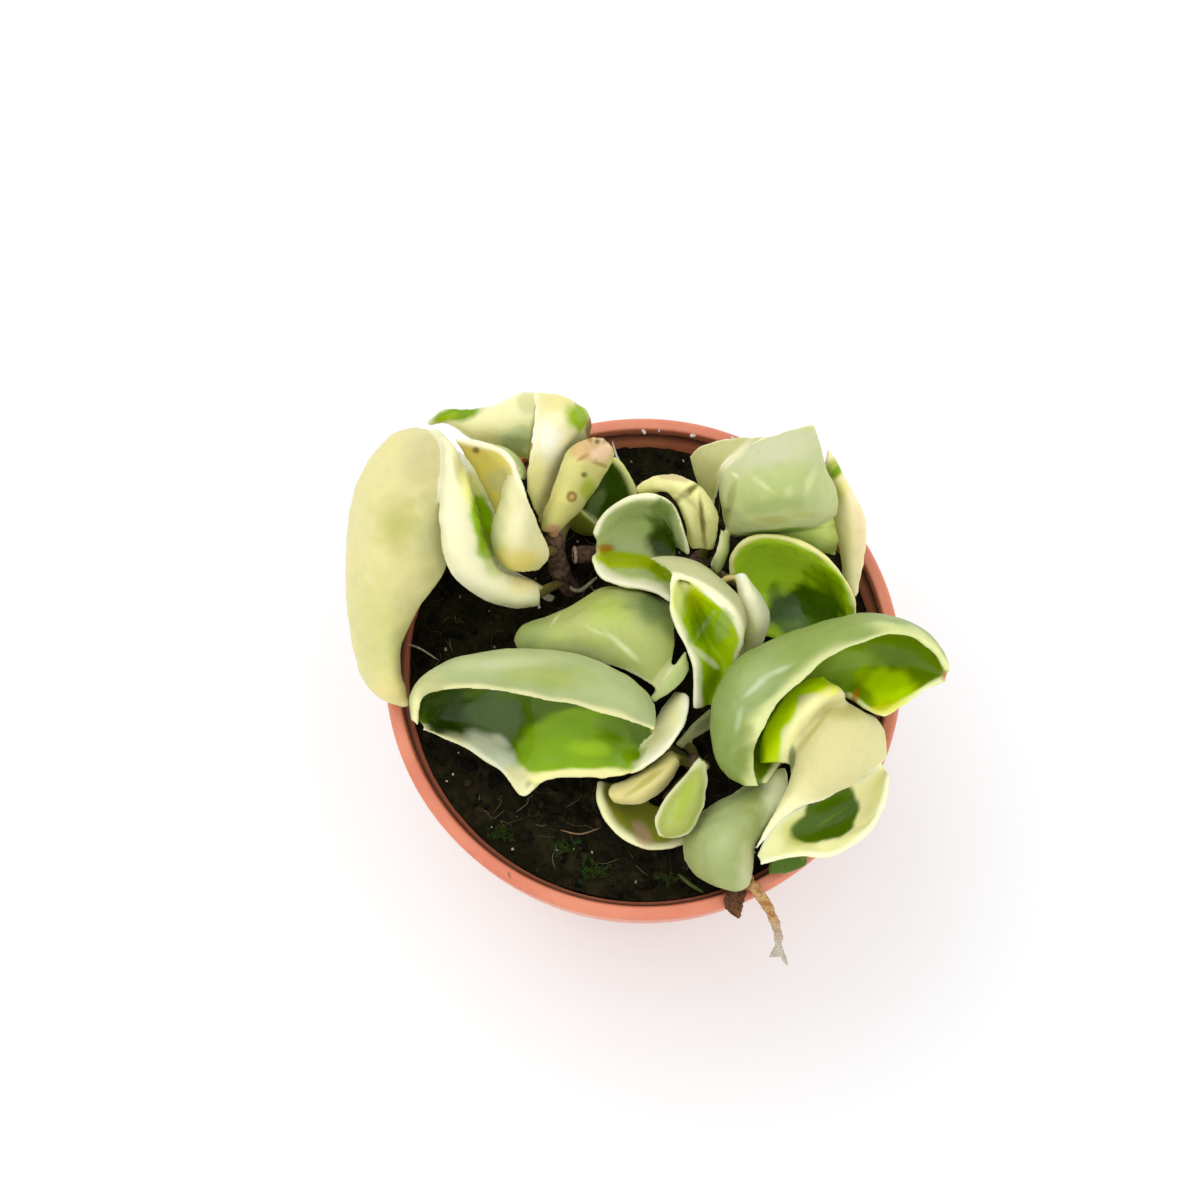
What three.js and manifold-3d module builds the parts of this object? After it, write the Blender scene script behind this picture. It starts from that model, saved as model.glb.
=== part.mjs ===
// Variegated hindu rope hoya in its nursery pot, in millimetres, +Z up.
// The origin is the middle of the pot's underside.
import * as THREE from "three";
import Module from "manifold-3d";
import { mergeVertices } from "three/addons/utils/BufferGeometryUtils.js";

const wasm = await Module();
wasm.setup();

// Pot
const rimRadius = 51.8;
const potHeight = 90;
const baseRadius = 36;
const wall = 1.3;
const lipWidth = 2.8;
const collarHeight = 13;
const floorThickness = 1.6;
const potSides = 48;
const potTaper = (rimRadius - lipWidth - baseRadius) / potHeight;
const drainHoles = 6;
const drainRadius = 3.2;
const drainRing = 24;
const drainSides = 10;

// Soil
const soilDepth = 6.5;
const soilRelief = 0.35;
const soilRings = 6;
const soilSides = 32;
const fit = 0.3;

// Leaves and stems
const leafThickness = 1.9;
const marginThickness = 1.1;
const stalkRadius = 1.1;
const stalkSides = 6;
const stemSides = 8;
const stemHoleGap = 0.35;

// A viewer looks down at the pot from the front. Each outline below is set out as that viewer
// sees it: across and up on a picture plane through the middle of the rim, square to the line
// of sight, then the real height above the rim.
const sightTilt = THREE.MathUtils.degToRad(15.5);
const sightDistance = 500;
const sightLeft = 8.7;
const sightUp = 12.3;
const rimMiddle = new THREE.Vector3(0, 0, potHeight);
const pictureUp = new THREE.Vector3(0, Math.cos(sightTilt), Math.sin(sightTilt));
const pictureOut = new THREE.Vector3(0, -Math.sin(sightTilt), Math.cos(sightTilt));
const eye = rimMiddle.clone()
  .add(new THREE.Vector3(-sightLeft, 0, 0))
  .addScaledVector(pictureUp, sightUp)
  .addScaledVector(pictureOut, sightDistance);

const hoya = new THREE.Group();

// The place in space of a point seen at (across, up) and lying at a height above the rim.
function seen([across, up, height]) {
  const onPicture = rimMiddle.clone().addScaledVector(pictureUp, up);
  onPicture.x += across;
  const share = (eye.z - potHeight - height) / (eye.z - onPicture.z);
  return eye.clone().lerp(onPicture, share);
}

function smoothLine(points) {
  return new THREE.CatmullRomCurve3(points, false, "centripetal");
}

// Turns a geometry into a solid for joining and cutting.
function solidOf(geometry) {
  geometry.deleteAttribute("normal");
  geometry.deleteAttribute("uv");
  const merged = mergeVertices(geometry, 1e-4);
  return new wasm.Manifold(new wasm.Mesh({
    numProp: 3,
    vertProperties: new Float32Array(merged.attributes.position.array),
    triVerts: new Uint32Array(merged.index.array),
  }));
}

function solidFrom(positions, indices) {
  const geometry = new THREE.BufferGeometry();
  geometry.setAttribute("position", new THREE.Float32BufferAttribute(positions, 3));
  geometry.setIndex(indices);
  return solidOf(geometry);
}

function addPiece(name, solid, color, roughness) {
  const mesh = solid.getMesh();
  const corners = new Float32Array(mesh.vertProperties);
  const geometry = new THREE.BufferGeometry();
  geometry.setAttribute("position", new THREE.BufferAttribute(corners, 3));
  geometry.setIndex(Array.from(mesh.triVerts));
  geometry.computeVertexNormals();
  const material = new THREE.MeshStandardMaterial({ color, roughness, metalness: 0 });
  const piece = new THREE.Mesh(geometry, material);
  piece.name = name;
  hoya.add(piece);
}

// The middle surface of a leaf: rails run along it, from one margin to the other.
function middleSurface(rails, along, across) {
  const lines = rails.map((rail) => smoothLine(rail.map(seen)).getSpacedPoints(along));
  const rows = [];
  for (let i = 0; i <= along; i += 1) {
    rows.push(smoothLine(lines.map((line) => line[i])).getSpacedPoints(across));
  }
  return rows;
}

// A fleshy sheet around a middle surface, thinner at its margins. Both faces are split alike.
function sheet({ rails, along, across, thickness = leafThickness, margin = marginThickness }) {
  const rows = middleSurface(rails, along, across);
  const normalAt = (i, j) => {
    const ahead = rows[Math.min(i + 1, along)][j].clone().sub(rows[Math.max(i - 1, 0)][j]);
    const aside = rows[i][Math.min(j + 1, across)].clone().sub(rows[i][Math.max(j - 1, 0)]);
    return ahead.cross(aside).normalize();
  };
  const positions = [];
  for (const side of [1, -1]) {
    for (let i = 0; i <= along; i += 1) {
      for (let j = 0; j <= across; j += 1) {
        const steps = Math.min(j, across - j, i + 0.5, along - i + 0.5);
        const here = margin + (thickness - margin) * Math.min(1, steps);
        const point = rows[i][j].clone().addScaledVector(normalAt(i, j), side * here / 2);
        positions.push(point.x, point.y, point.z);
      }
    }
  }
  const row = across + 1;
  const face = (along + 1) * row;
  const indices = [];
  for (let i = 0; i < along; i += 1) {
    for (let j = 0; j < across; j += 1) {
      const a = i * row + j;
      const b = a + 1;
      const c = a + row;
      const d = c + 1;
      indices.push(a, c, b, b, c, d);
      indices.push(a + face, b + face, c + face, b + face, d + face, c + face);
    }
  }
  const closeEdge = (a, b) => indices.push(a, b, a + face, b, b + face, a + face);
  for (let j = 0; j < across; j += 1) {
    closeEdge(j, j + 1);
    closeEdge(along * row + j + 1, along * row + j);
  }
  for (let i = 0; i < along; i += 1) {
    closeEdge((i + 1) * row, i * row);
    closeEdge(i * row + across, (i + 1) * row + across);
  }
  return solidFrom(positions, indices);
}

// A round rod along a line of seen points, its radius changing evenly from start to end.
function rod(points, startRadius, endRadius, sides, steps = points.length + 1) {
  const line = smoothLine(points.map(seen));
  const frames = line.computeFrenetFrames(steps, false);
  const spots = line.getSpacedPoints(steps);
  const positions = [];
  spots.forEach((spot, i) => {
    const radius = startRadius + (endRadius - startRadius) * i / steps;
    for (let k = 0; k < sides; k += 1) {
      const angle = 2 * Math.PI * k / sides;
      const point = spot.clone()
        .addScaledVector(frames.normals[i], radius * Math.cos(angle))
        .addScaledVector(frames.binormals[i], radius * Math.sin(angle));
      positions.push(point.x, point.y, point.z);
    }
  });
  const firstEnd = positions.length / 3;
  positions.push(spots[0].x, spots[0].y, spots[0].z);
  positions.push(spots[steps].x, spots[steps].y, spots[steps].z);
  const indices = [];
  for (let k = 0; k < sides; k += 1) {
    const next = (k + 1) % sides;
    for (let i = 0; i < steps; i += 1) {
      const a = i * sides + k;
      const b = i * sides + next;
      indices.push(a, b, a + sides, b, b + sides, a + sides);
    }
    indices.push(firstEnd, next, k);
    indices.push(firstEnd + 1, steps * sides + k, steps * sides + next);
  }
  return solidFrom(positions, indices);
}

// Stems: each line starts inside the soil, with the radius at its two ends.
const stems = {
  stem_left: {
    line: [[-13.7, 12.3, -24], [-14.3, 13.9, -9], [-16.3, 17.3, -3], [-17.5, 21.3, 3], [-17.7, 25.3, 7]],
    radii: [2.3, 1.8],
  },
  stem_stub: {
    line: [[-6, 21, -24], [-6.2, 21.3, -8], [-7.5, 21.6, -2.5], [-10.5, 21.5, -0.4], [-14, 21.3, 0.2]],
    radii: [1.7, 1.7],
  },
  stem_centre: {
    line: [
      [3.3, 4.3, -24], [3.7, 5.9, -9], [4.9, 10.3, -5], [7.3, 14.3, -3.2], [9.7, 18.3, -1],
      [11.7, 21.1, 3],
    ],
    radii: [2.2, 1.8],
  },
  stem_right: {
    line: [[15.7, 4.3, -24], [15.7, 6.3, -9], [15.5, 11.3, -5], [15.1, 14.7, -1.5], [14.7, 17.9, 1]],
    radii: [2.2, 1.7],
  },
  stem_front: {
    line: [[10.1, -20.5, -24], [10.1, -20.5, -9], [10.1, -20.3, -2], [10.1, -20.1, 3]],
    radii: [2, 1.6],
  },
  stem_front_right: {
    line: [[24.1, -24.1, -24], [24.1, -24.1, -9], [23.9, -23.9, -3], [23.7, -23.7, 1.5]],
    radii: [2.2, 1.8],
  },
};

// Left leaf: the big cream outer half hangs over the rim, and its other half folds back over it
// as a broad collar with a foot that reaches the stem.
function leftOuterLeaf() {
  const hiddenMargin = [
    [-47.4, -8.3, 3], [-50.9, 0.3, 4], [-50.3, 10.3, 5], [-46.9, 20.3, 6], [-45.1, 34.3, 8],
    [-43.3, 44.3, 12],
  ];
  const outerFold = [
    [-47.5, -8.9, 3], [-54.3, -4.9, 6], [-57.9, 7.3, 8], [-58.3, 23.3, 9], [-56.3, 35.3, 12],
    [-50.3, 44.3, 14], [-44.7, 46.5, 14],
  ];
  const crest = [
    [-47.1, -8.9, 4], [-50.7, -2.1, 11], [-52.3, 10.3, 17], [-52.1, 23.3, 21], [-50.3, 35.3, 22],
    [-46.7, 42.7, 19], [-43.9, 46.3, 15],
  ];
  const innerSide = [
    [-46.9, -8.7, 4], [-48.9, 1.3, 9], [-44.9, 10.5, 12], [-39.5, 18.5, 13], [-39.1, 28.3, 18],
    [-38.7, 38.3, 20], [-40.7, 44.3, 18], [-43.1, 46.3, 15],
  ];
  const collarEdge = [
    [-42.7, 46.1, 16], [-40.1, 42.3, 19.5], [-40.7, 34.3, 21], [-40.9, 27.3, 21], [-39.3, 18.9, 18],
    [-34.7, 14.1, 14], [-27.7, 10.9, 8], [-20.5, 11.1, 4],
  ];
  const collarCrest = [
    [-42.1, 46.5, 17], [-38.7, 42.3, 22], [-38.3, 32.3, 23], [-37.1, 23.3, 22], [-33.5, 16.9, 18],
    [-27.5, 13.7, 13], [-20.5, 12.7, 7],
  ];
  const collarTurn = [
    [-41.5, 46.1, 16], [-37.5, 40.3, 20], [-35.3, 31.5, 21], [-32.9, 23.3, 18], [-29.7, 17.3, 14],
    [-25.7, 15.7, 10], [-20.5, 14.3, 7],
  ];
  const innerWall = [
    [-41.1, 45.3, 13], [-36.3, 38.7, 9], [-33.7, 30.3, 7], [-31.3, 22.7, 5], [-28.7, 17.5, 4],
    [-24.7, 16.5, 3.5], [-20.3, 14.7, 4],
  ];
  const innerFloor = [
    [-40.1, 44.3, 10], [-33.3, 38.3, 4], [-29.7, 29.9, 2], [-27.9, 22.3, 0], [-26.3, 18.3, 0],
    [-23.1, 16.3, 1], [-20.1, 13.9, 2],
  ];
  return {
    sheets: [
      { rails: [hiddenMargin, outerFold, crest, innerSide], along: 10, across: 7 },
      { rails: [collarEdge, collarCrest, collarTurn, innerWall, innerFloor], along: 11, across: 8 },
    ],
    stalk: [[-21, 13.5, 4], [-18.6, 14.9, -0.5], [-16.1, 16.2, -3.6]],
  };
}

// The cupped leaf inside the left leaf's collar, with its drop-shaped tip turned forward.
function leftInnerLeaf() {
  const rim = [
    [-38.2, 44.9, 19.5], [-35.9, 44.5, 21], [-32.3, 43.9, 22], [-28.3, 42.5, 24],
    [-25.9, 39.9, 24.5], [-24.9, 36.7, 24],
  ];
  const inside = [
    [-37.1, 43.5, 18.3], [-35.3, 42.1, 17.5], [-32.7, 41.1, 17], [-29.7, 39.1, 17.5],
    [-27.9, 36.5, 18], [-27.1, 34.3, 18],
  ];
  const depth = [
    [-35.5, 41.1, 16.5], [-34.1, 38.9, 14.5], [-32.7, 36.3, 13], [-31.3, 33.5, 12],
    [-30.1, 30.9, 11.5], [-28.7, 28.3, 11.5],
  ];
  const dropLeft = [
    [-27, 37.3, 19], [-28.3, 32.1, 16], [-30.1, 27.9, 14], [-30.4, 23.9, 12.5], [-29.1, 20.5, 11],
    [-26.3, 18.2, 9.5],
  ];
  const dropCrest = [
    [-26.3, 37.5, 22], [-25.9, 31.3, 22], [-26.1, 25.3, 20.5], [-25.3, 20.9, 16.5],
    [-24, 17.9, 12],
  ];
  const dropRight = [
    [-25.1, 38.3, 24], [-22.9, 32.5, 22], [-20.3, 25.9, 16], [-18.7, 21.7, 12.5],
    [-20.9, 18.3, 10],
  ];
  const backEdge = [[-33, 44.1, 20], [-27.7, 42.9, 19], [-24.3, 39.9, 17], [-23.7, 36.3, 14]];
  const backFoot = [[-32.2, 43.1, 20], [-27.1, 41.3, 20], [-25.1, 38.7, 19], [-24.5, 36.3, 18.5]];
  return {
    sheets: [
      { rails: [rim, inside, depth], along: 8, across: 5 },
      { rails: [dropLeft, dropCrest, dropRight], along: 9, across: 5 },
      { rails: [backEdge, backFoot], along: 5, across: 2 },
    ],
    stalk: [[-20.9, 21.7, 12], [-19, 22.1, 8], [-17.5, 22.3, 4]],
  };
}

// The twisted leaf at the back left: a thin wing, a hollow cone and a broad front panel.
function backTwistedLeaf() {
  const wingTop = [
    [-43.5, 47.9, 13], [-40.1, 50.5, 15], [-34.7, 50.7, 17], [-29.5, 51.7, 21], [-24.7, 54.1, 24],
    [-21.3, 54.1, 26],
  ];
  const wingMiddle = [
    [-43.3, 47.4, 12], [-39.1, 49.1, 15], [-33.7, 47.7, 17], [-28.7, 47.3, 19], [-24.3, 48.3, 22],
    [-21.5, 49.3, 25],
  ];
  const wingLow = [
    [-43.1, 46.9, 12], [-39.5, 47.7, 13], [-34.9, 44.9, 12], [-30.7, 43.1, 10], [-26.3, 41.5, 9],
    [-22.7, 40.3, 10],
  ];
  const panelLeft = [
    [-21.7, 54.1, 26], [-21.9, 49.3, 27], [-22.3, 44.3, 26], [-23.3, 39.1, 21], [-23.5, 35.1, 17],
    [-22.3, 31.1, 12], [-20.7, 28.1, 8],
  ];
  const panelMiddle = [
    [-15.7, 53.1, 27], [-16.3, 48.3, 28], [-17.5, 43.3, 24], [-19.3, 37.3, 17], [-20.7, 32.3, 12],
    [-20.3, 28.1, 7],
  ];
  const panelRight = [
    [-11.5, 50.7, 22], [-10.3, 47.1, 19], [-12.7, 42.9, 14], [-15.3, 40.3, 12], [-16.7, 36.3, 9],
    [-18.5, 31.9, 6], [-19.7, 28.1, 5],
  ];
  return {
    sheets: [
      { rails: [wingTop, wingMiddle, wingLow], along: 9, across: 4 },
      { rails: [panelLeft, panelMiddle, panelRight], along: 10, across: 6 },
    ],
    stalk: [[-20.4, 28.9, 6.5], [-19, 27, 5], [-17.7, 25, 4]],
  };
}

// The yellow tongue with a dry scar, in front of the twisted leaf.
function backScarredLeaf() {
  const left = [
    [-15.5, 41.9, 23], [-16.9, 38.3, 22], [-18.5, 33.9, 17.5], [-20.1, 29.9, 13],
    [-20.5, 26.3, 9.5],
  ];
  const crest = [
    [-11.9, 44.7, 25], [-13.1, 39.7, 25], [-15.1, 34.1, 20], [-17.7, 29.3, 14.5],
    [-19.5, 25.7, 10.5],
  ];
  const right = [
    [-8.1, 45.1, 21], [-5.9, 41.5, 17.5], [-8.5, 36.5, 13.5], [-11.9, 31.3, 10], [-16.9, 26.3, 8],
  ];
  return {
    sheets: [
      { rails: [left, crest, right], along: 9, across: 5 },
    ],
    stalk: [[-18.3, 27.3, 9.5], [-18, 25.9, 8], [-17.7, 24.7, 5]],
  };
}

// The dark green leaf in the shade behind, folded so that its near margin stands in front.
function backGreenLeaf() {
  const foldedLeft = [
    [-7.9, 40.7, 5], [-10.7, 36.3, 2], [-13.7, 31.3, -1], [-15.3, 28.3, -1], [-15.1, 29.1, 2],
    [-13.5, 31.1, 5.5],
  ];
  const foldedMiddle = [
    [-6.3, 40.1, 6], [-6.7, 35.3, 1], [-8.7, 29.7, -3.5], [-11.9, 26.1, -3.5], [-12.1, 27.1, 0],
    [-10.7, 28.9, 4],
  ];
  const foldedRight = [
    [-6.1, 41.1, 9], [-3.7, 38.9, 8], [-1.3, 34.1, 5], [-1.9, 29.9, 0], [-5.5, 25.7, -3.5],
    [-8.1, 24.5, -1], [-7.3, 25.1, 1],
  ];
  return {
    sheets: [
      { rails: [foldedLeft, foldedMiddle, foldedRight], along: 12, across: 4 },
    ],
    stalk: [[-14.9, 28.3, 0], [-16, 26, 1], [-17.2, 23.7, 3]],
  };
}

// The centre leaf lies open like a clam, with the mouth towards the front.
function centreCupLeaf() {
  const lowMargin = [
    [-10.3, 21.1, 11], [-8.7, 16.9, 11], [-3.9, 15.1, 12], [1.1, 14.3, 13], [5.7, 11.9, 14],
  ];
  const lowInside = [[-9.7, 21.9, 9], [-6.3, 18.9, 7], [-1.7, 17.7, 7], [2.3, 16.5, 8], [6.1, 14.3, 9]];
  const crease = [[-9.5, 22.7, 8], [-6.3, 22.1, 4], [-1.7, 21.5, 3], [2.3, 20.3, 3], [6.5, 17.9, 4]];
  const highInside = [
    [-9.5, 24.1, 11], [-6.3, 27.1, 9], [-1.7, 28.3, 8], [3.3, 27.3, 7], [6.5, 22.7, 5],
  ];
  const highMargin = [
    [-9.9, 25.3, 14], [-8.9, 28.3, 16], [-5.5, 31.5, 18.5], [-1.1, 33.3, 21], [3.3, 33.1, 21.5],
    [6.1, 30.9, 20.5], [7.5, 27.1, 18], [8.5, 23.9, 15], [9.3, 21.1, 12],
  ];
  return {
    sheets: [
      { rails: [lowMargin, lowInside, crease, highInside, highMargin], along: 11, across: 8 },
    ],
    stalk: [[5.5, 18.5, 3.5], [7.9, 18.5, 1.6], [9.9, 18.5, -0.6]],
  };
}

// Two narrow arches of one yellow leaf behind the centre leaf.
function centreArchLeaf() {
  const outerEdge = [
    [-1.7, 34.9, 14], [2.3, 37.1, 19], [6.5, 37.3, 22.5], [10.5, 35.7, 24], [13.5, 32.5, 22],
    [14.9, 29.1, 18], [14.5, 25.9, 12.5], [14.1, 22.5, 7.5],
  ];
  const outerCrest = [
    [-1.3, 34.1, 15], [2.5, 35.7, 20.5], [6.5, 35.7, 24], [9.9, 34.1, 25.3], [12.3, 31.3, 23.5],
    [13.5, 28.5, 19.5], [13.5, 25.5, 14], [13.1, 22.3, 8.5],
  ];
  const outerFold = [
    [-0.7, 33.1, 11], [2.9, 34.1, 16], [6.3, 33.9, 19.5], [9.1, 32.5, 20.5], [11.1, 30.3, 18.5],
    [12, 27.9, 15], [12.1, 25.3, 11], [12.1, 22.7, 7],
  ];
  const innerEdge = [
    [9.3, 33.3, 20.8], [10.9, 30.9, 18], [11.5, 28.1, 14.5], [11.5, 25.3, 10.5], [11.3, 22.7, 7],
  ];
  const innerCrest = [
    [7.3, 33.7, 21.3], [9.1, 31, 19.5], [9.9, 27.9, 16], [10.3, 25.3, 12.3], [10.5, 22.5, 8],
  ];
  const innerFold = [
    [5.1, 33.9, 18.6], [7.3, 30.9, 15.5], [8.5, 27.7, 12], [8.9, 25.1, 9.2], [9.5, 22.7, 6.2],
  ];
  return {
    sheets: [
      { rails: [outerEdge, outerCrest, outerFold], along: 11, across: 4 },
      { rails: [innerEdge, innerCrest, innerFold], along: 7, across: 4 },
    ],
    stalk: [[12.6, 24, 7.5], [12.2, 22.5, 5], [11.6, 20.9, 2]],
  };
}

// The pale puffed leaf at the back right, with a flap, a lower bulge and a curled lobe.
function backPuffedLeaf() {
  const top = [[15.7, 36.3, 18], [16.1, 39.5, 24], [20.9, 43.1, 27], [27.7, 45.7, 30], [34.3, 47.9, 31]];
  const upper = [
    [15.5, 32.7, 19], [18.3, 36.3, 28], [24.3, 39.1, 33], [30.3, 41.9, 34], [35.1, 44.7, 31],
  ];
  const middle = [
    [15.9, 29.7, 16], [20.3, 31.7, 27], [26.3, 33.7, 33], [31.7, 36.3, 33], [36.1, 39.9, 28],
  ];
  const lower = [
    [16.5, 26.9, 12], [21.3, 27.9, 21], [27.3, 28.5, 26], [32.9, 30.7, 27], [38.9, 33.5, 22],
  ];
  const under = [
    [18.1, 24.7, 7], [21.7, 25.7, 12], [27.3, 26.1, 15.5], [33.3, 26.9, 17], [38.9, 29.3, 16],
  ];
  const flapTop = [
    [9.1, 41.3, 13], [11.5, 43.1, 16], [16.5, 44.7, 22], [21.9, 44.9, 27], [26.3, 44.9, 29.5],
  ];
  const flapMiddle = [[10.3, 37.5, 12.5], [12.3, 38.9, 17], [15.3, 40.5, 22], [19.5, 42.1, 27.2]];
  const flapLow = [[13.7, 29.9, 12], [14.7, 33.3, 16.5], [15.5, 36.5, 20.5], [17.1, 39.9, 25]];
  const bulgeTop = [[21.7, 25.9, 13], [27.3, 26.3, 17], [33.3, 27.1, 18], [38.1, 29.3, 15]];
  const bulgeMiddle = [[22.3, 25.3, 8], [28.9, 24.9, 10.5], [34.9, 24.3, 12], [39.1, 25.1, 11]];
  const bulgeLow = [[23.7, 25.1, 5], [29.9, 24.1, 5], [35.3, 22.1, 4.5], [38.5, 21.3, 4.5]];
  const lobeLeft = [[15.3, 27.1, 14.5], [14.8, 23.1, 12], [13, 19.3, 8]];
  const lobeMiddle = [[15.9, 26.3, 13.5], [15.7, 22.3, 12], [14.1, 18.3, 7.5]];
  const lobeRight = [[17.1, 26.5, 12], [16.7, 22.1, 9], [15.1, 17.5, 5]];
  return {
    sheets: [
      { rails: [top, upper, middle, lower, under], along: 9, across: 8 },
      { rails: [flapTop, flapMiddle, flapLow], along: 7, across: 3 },
      { rails: [bulgeTop, bulgeMiddle, bulgeLow], along: 6, across: 3 },
      { rails: [lobeLeft, lobeMiddle, lobeRight], along: 5, across: 3 },
    ],
    stalk: [[14.3, 18.6, 6.5], [14.5, 17.8, 4], [14.7, 17.2, 0.5]],
  };
}

// The beige leaf that hangs down at the far right, with a lime fold at its top.
function farRightLeaf() {
  const right = [
    [36.9, 42.9, 20.4], [38.9, 39.3, 19], [41.5, 34.3, 17], [43.9, 29.9, 14], [44.5, 23.3, 10],
    [43.7, 17.9, 7], [42.9, 12.7, 4],
  ];
  const crest = [
    [36.6, 41.3, 21], [38.5, 37.3, 20], [41.3, 31.9, 18], [42.1, 26.3, 15], [41.7, 19.9, 9.8],
    [41.7, 13.1, 4.2],
  ];
  const left = [
    [35.7, 38.9, 17], [36.1, 34.9, 12.5], [36.7, 30.9, 10.5], [38.5, 26.3, 8], [39.7, 20.3, 5.5],
    [40.5, 13.7, 3.6],
  ];
  return {
    sheets: [
      { rails: [right, crest, left], along: 11, across: 5, thickness: 1.4 },
    ],
    stalk: [[41.5, 13.9, 4.3], [40.8, 12.6, -1], [34, 9.9, -4.1], [23, 10.1, -4.2], [16.6, 11.3, -4.4]],
  };
}

// The bright green cup on the right.
function rightCupLeaf() {
  const rim = [
    [17.5, 16.7, 9], [17.7, 21.3, 14], [20.7, 24.5, 18], [25.7, 25.3, 21], [31.3, 23.9, 23],
    [36.5, 20.7, 22], [40.5, 15.7, 19], [42.3, 11.1, 15], [42.3, 7.9, 11],
  ];
  const wallLine = [
    [19.1, 14.7, 3], [19.9, 19.7, 6], [22.9, 22.1, 8], [27.1, 22.3, 9], [31.5, 20.9, 10],
    [35.1, 17.9, 10], [37.9, 13.9, 8], [39.5, 9.9, 6], [39.5, 6.3, 4],
  ];
  const depth = [
    [20.9, 12.5, 1], [22.7, 14.3, 1], [25.3, 15.7, 1.5], [28.3, 15.9, 1.5], [31.1, 14.7, 1.5],
    [32.9, 12.7, 1.5], [34.3, 9.9, 1.5], [34.9, 7.1, 1.5], [34.3, 4.3, 1],
  ];
  const bottom = [
    [22.5, 8.3, -0.5], [23.7, 9.3, -0.5], [25.9, 9.9, -0.5], [27.9, 9.5, -0.5], [29.3, 8.3, -0.5],
    [29.9, 6.7, -0.5], [30.3, 4.7, -0.5], [30.1, 2.7, -0.5], [28.9, 1.3, -0.5],
  ];
  const middle = [
    [22.7, 3.9, -0.5], [23.5, 4.5, -0.8], [24.7, 4.7, -0.9], [25.9, 4.5, -0.9], [26.7, 3.9, -0.9],
    [27.1, 3.1, -0.9], [27.1, 2.1, -0.9], [26.7, 1.3, -0.8], [25.7, 0.7, -0.5],
  ];
  return {
    sheets: [
      { rails: [rim, wallLine, depth, bottom, middle], along: 13, across: 9 },
    ],
    stalk: [[20.3, 15.1, 2.4], [17.7, 16.3, 1.4], [14.9, 16.9, 0.4]],
  };
}

// The small cream leaf between the two centre leaves, with a dry curl at its tip.
function smallCreamLeaf() {
  const left = [[18.7, 17.9, 17], [18.9, 13.3, 15], [19.5, 8.3, 12], [20.1, 3.9, 7.5], [18.7, 0.5, 4]];
  const crest = [
    [19.5, 17.9, 17.5], [21.1, 12.9, 17.6], [22.3, 8.3, 15], [21.7, 3.7, 9.6], [19.8, 0.2, 4.5],
  ];
  const right = [
    [20.3, 17.5, 17], [22.9, 13.9, 14], [25.1, 10.1, 11], [24.9, 6.7, 9], [23.3, 2.9, 6.5],
    [20.9, 0.1, 4],
  ];
  const curlTop = [[19.3, 17.3, 17], [16.5, 17.5, 15], [14.5, 15.3, 13]];
  const curlLow = [[19.5, 16.1, 17], [16.9, 15.9, 15], [15.1, 14.5, 13]];
  return {
    sheets: [
      { rails: [left, crest, right], along: 8, across: 5, thickness: 1.4 },
      { rails: [curlTop, curlLow], along: 4, across: 2 },
    ],
    stalk: [[19.9, 1.3, 5], [18.7, 5.1, 2], [16.7, 9.9, 0.6], [15.3, 13.9, -1.2]],
  };
}

// The tall twisted leaf in the middle: a trough with an outer flap along its right rim.
function centreTwistedLeaf() {
  const leftRim = [
    [9.9, -9.7, 9], [10.1, -5.3, 12], [9.9, -0.3, 16], [7.9, 4.3, 19], [5.9, 8.9, 22],
    [5.3, 13.3, 24], [5.7, 17.1, 25],
  ];
  const leftWall = [
    [11.3, -9.5, 7.5], [12.1, -4.9, 8.5], [11.9, 0.5, 12], [10.1, 5.1, 12.5], [8.5, 10.3, 15],
    [7.9, 14.7, 19.5],
  ];
  const spine = [
    [12.7, -8.9, 6], [14.1, -4.9, 5.5], [13.7, -0.3, 9], [12.3, 4.7, 6.5], [11.1, 9.3, 8],
    [9.9, 13.5, 14],
  ];
  const rightWall = [
    [14.1, -8.9, 6], [15.1, -3.7, 6], [15.7, 1.3, 8], [15.3, 5.9, 13], [13.7, 9.9, 16],
    [11.7, 13.1, 20],
  ];
  const rightRim = [
    [14.9, -8.5, 6], [17.9, -1.7, 8], [19.3, 1.3, 13], [20.1, 4.3, 19], [18.5, 8.3, 25],
    [14.5, 12.7, 27], [10.1, 15.7, 27],
  ];
  const flapInner = [
    [6.1, 16.9, 25], [10.1, 15.7, 27], [14.5, 12.7, 27], [18.5, 8.3, 25], [19.7, 4.3, 20],
  ];
  const flapMiddle = [
    [3.7, 19.1, 21], [9.3, 18.3, 24], [14.5, 15.1, 25], [18.9, 10.7, 22], [20.1, 6.3, 18],
  ];
  const flapOuter = [
    [0.7, 20.7, 17], [5.7, 20.9, 19], [10.7, 19.7, 20], [15.3, 16.3, 20], [18.7, 12.9, 18],
    [19.7, 9.3, 16],
  ];
  return {
    sheets: [
      { rails: [leftRim, leftWall, spine, rightWall, rightRim], along: 11, across: 8 },
      { rails: [flapInner, flapMiddle, flapOuter], along: 9, across: 3 },
    ],
    stalk: [[11.5, 7.9, 9], [9.4, 12.1, 3], [7.7, 14.7, -2.6]],
  };
}

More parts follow.
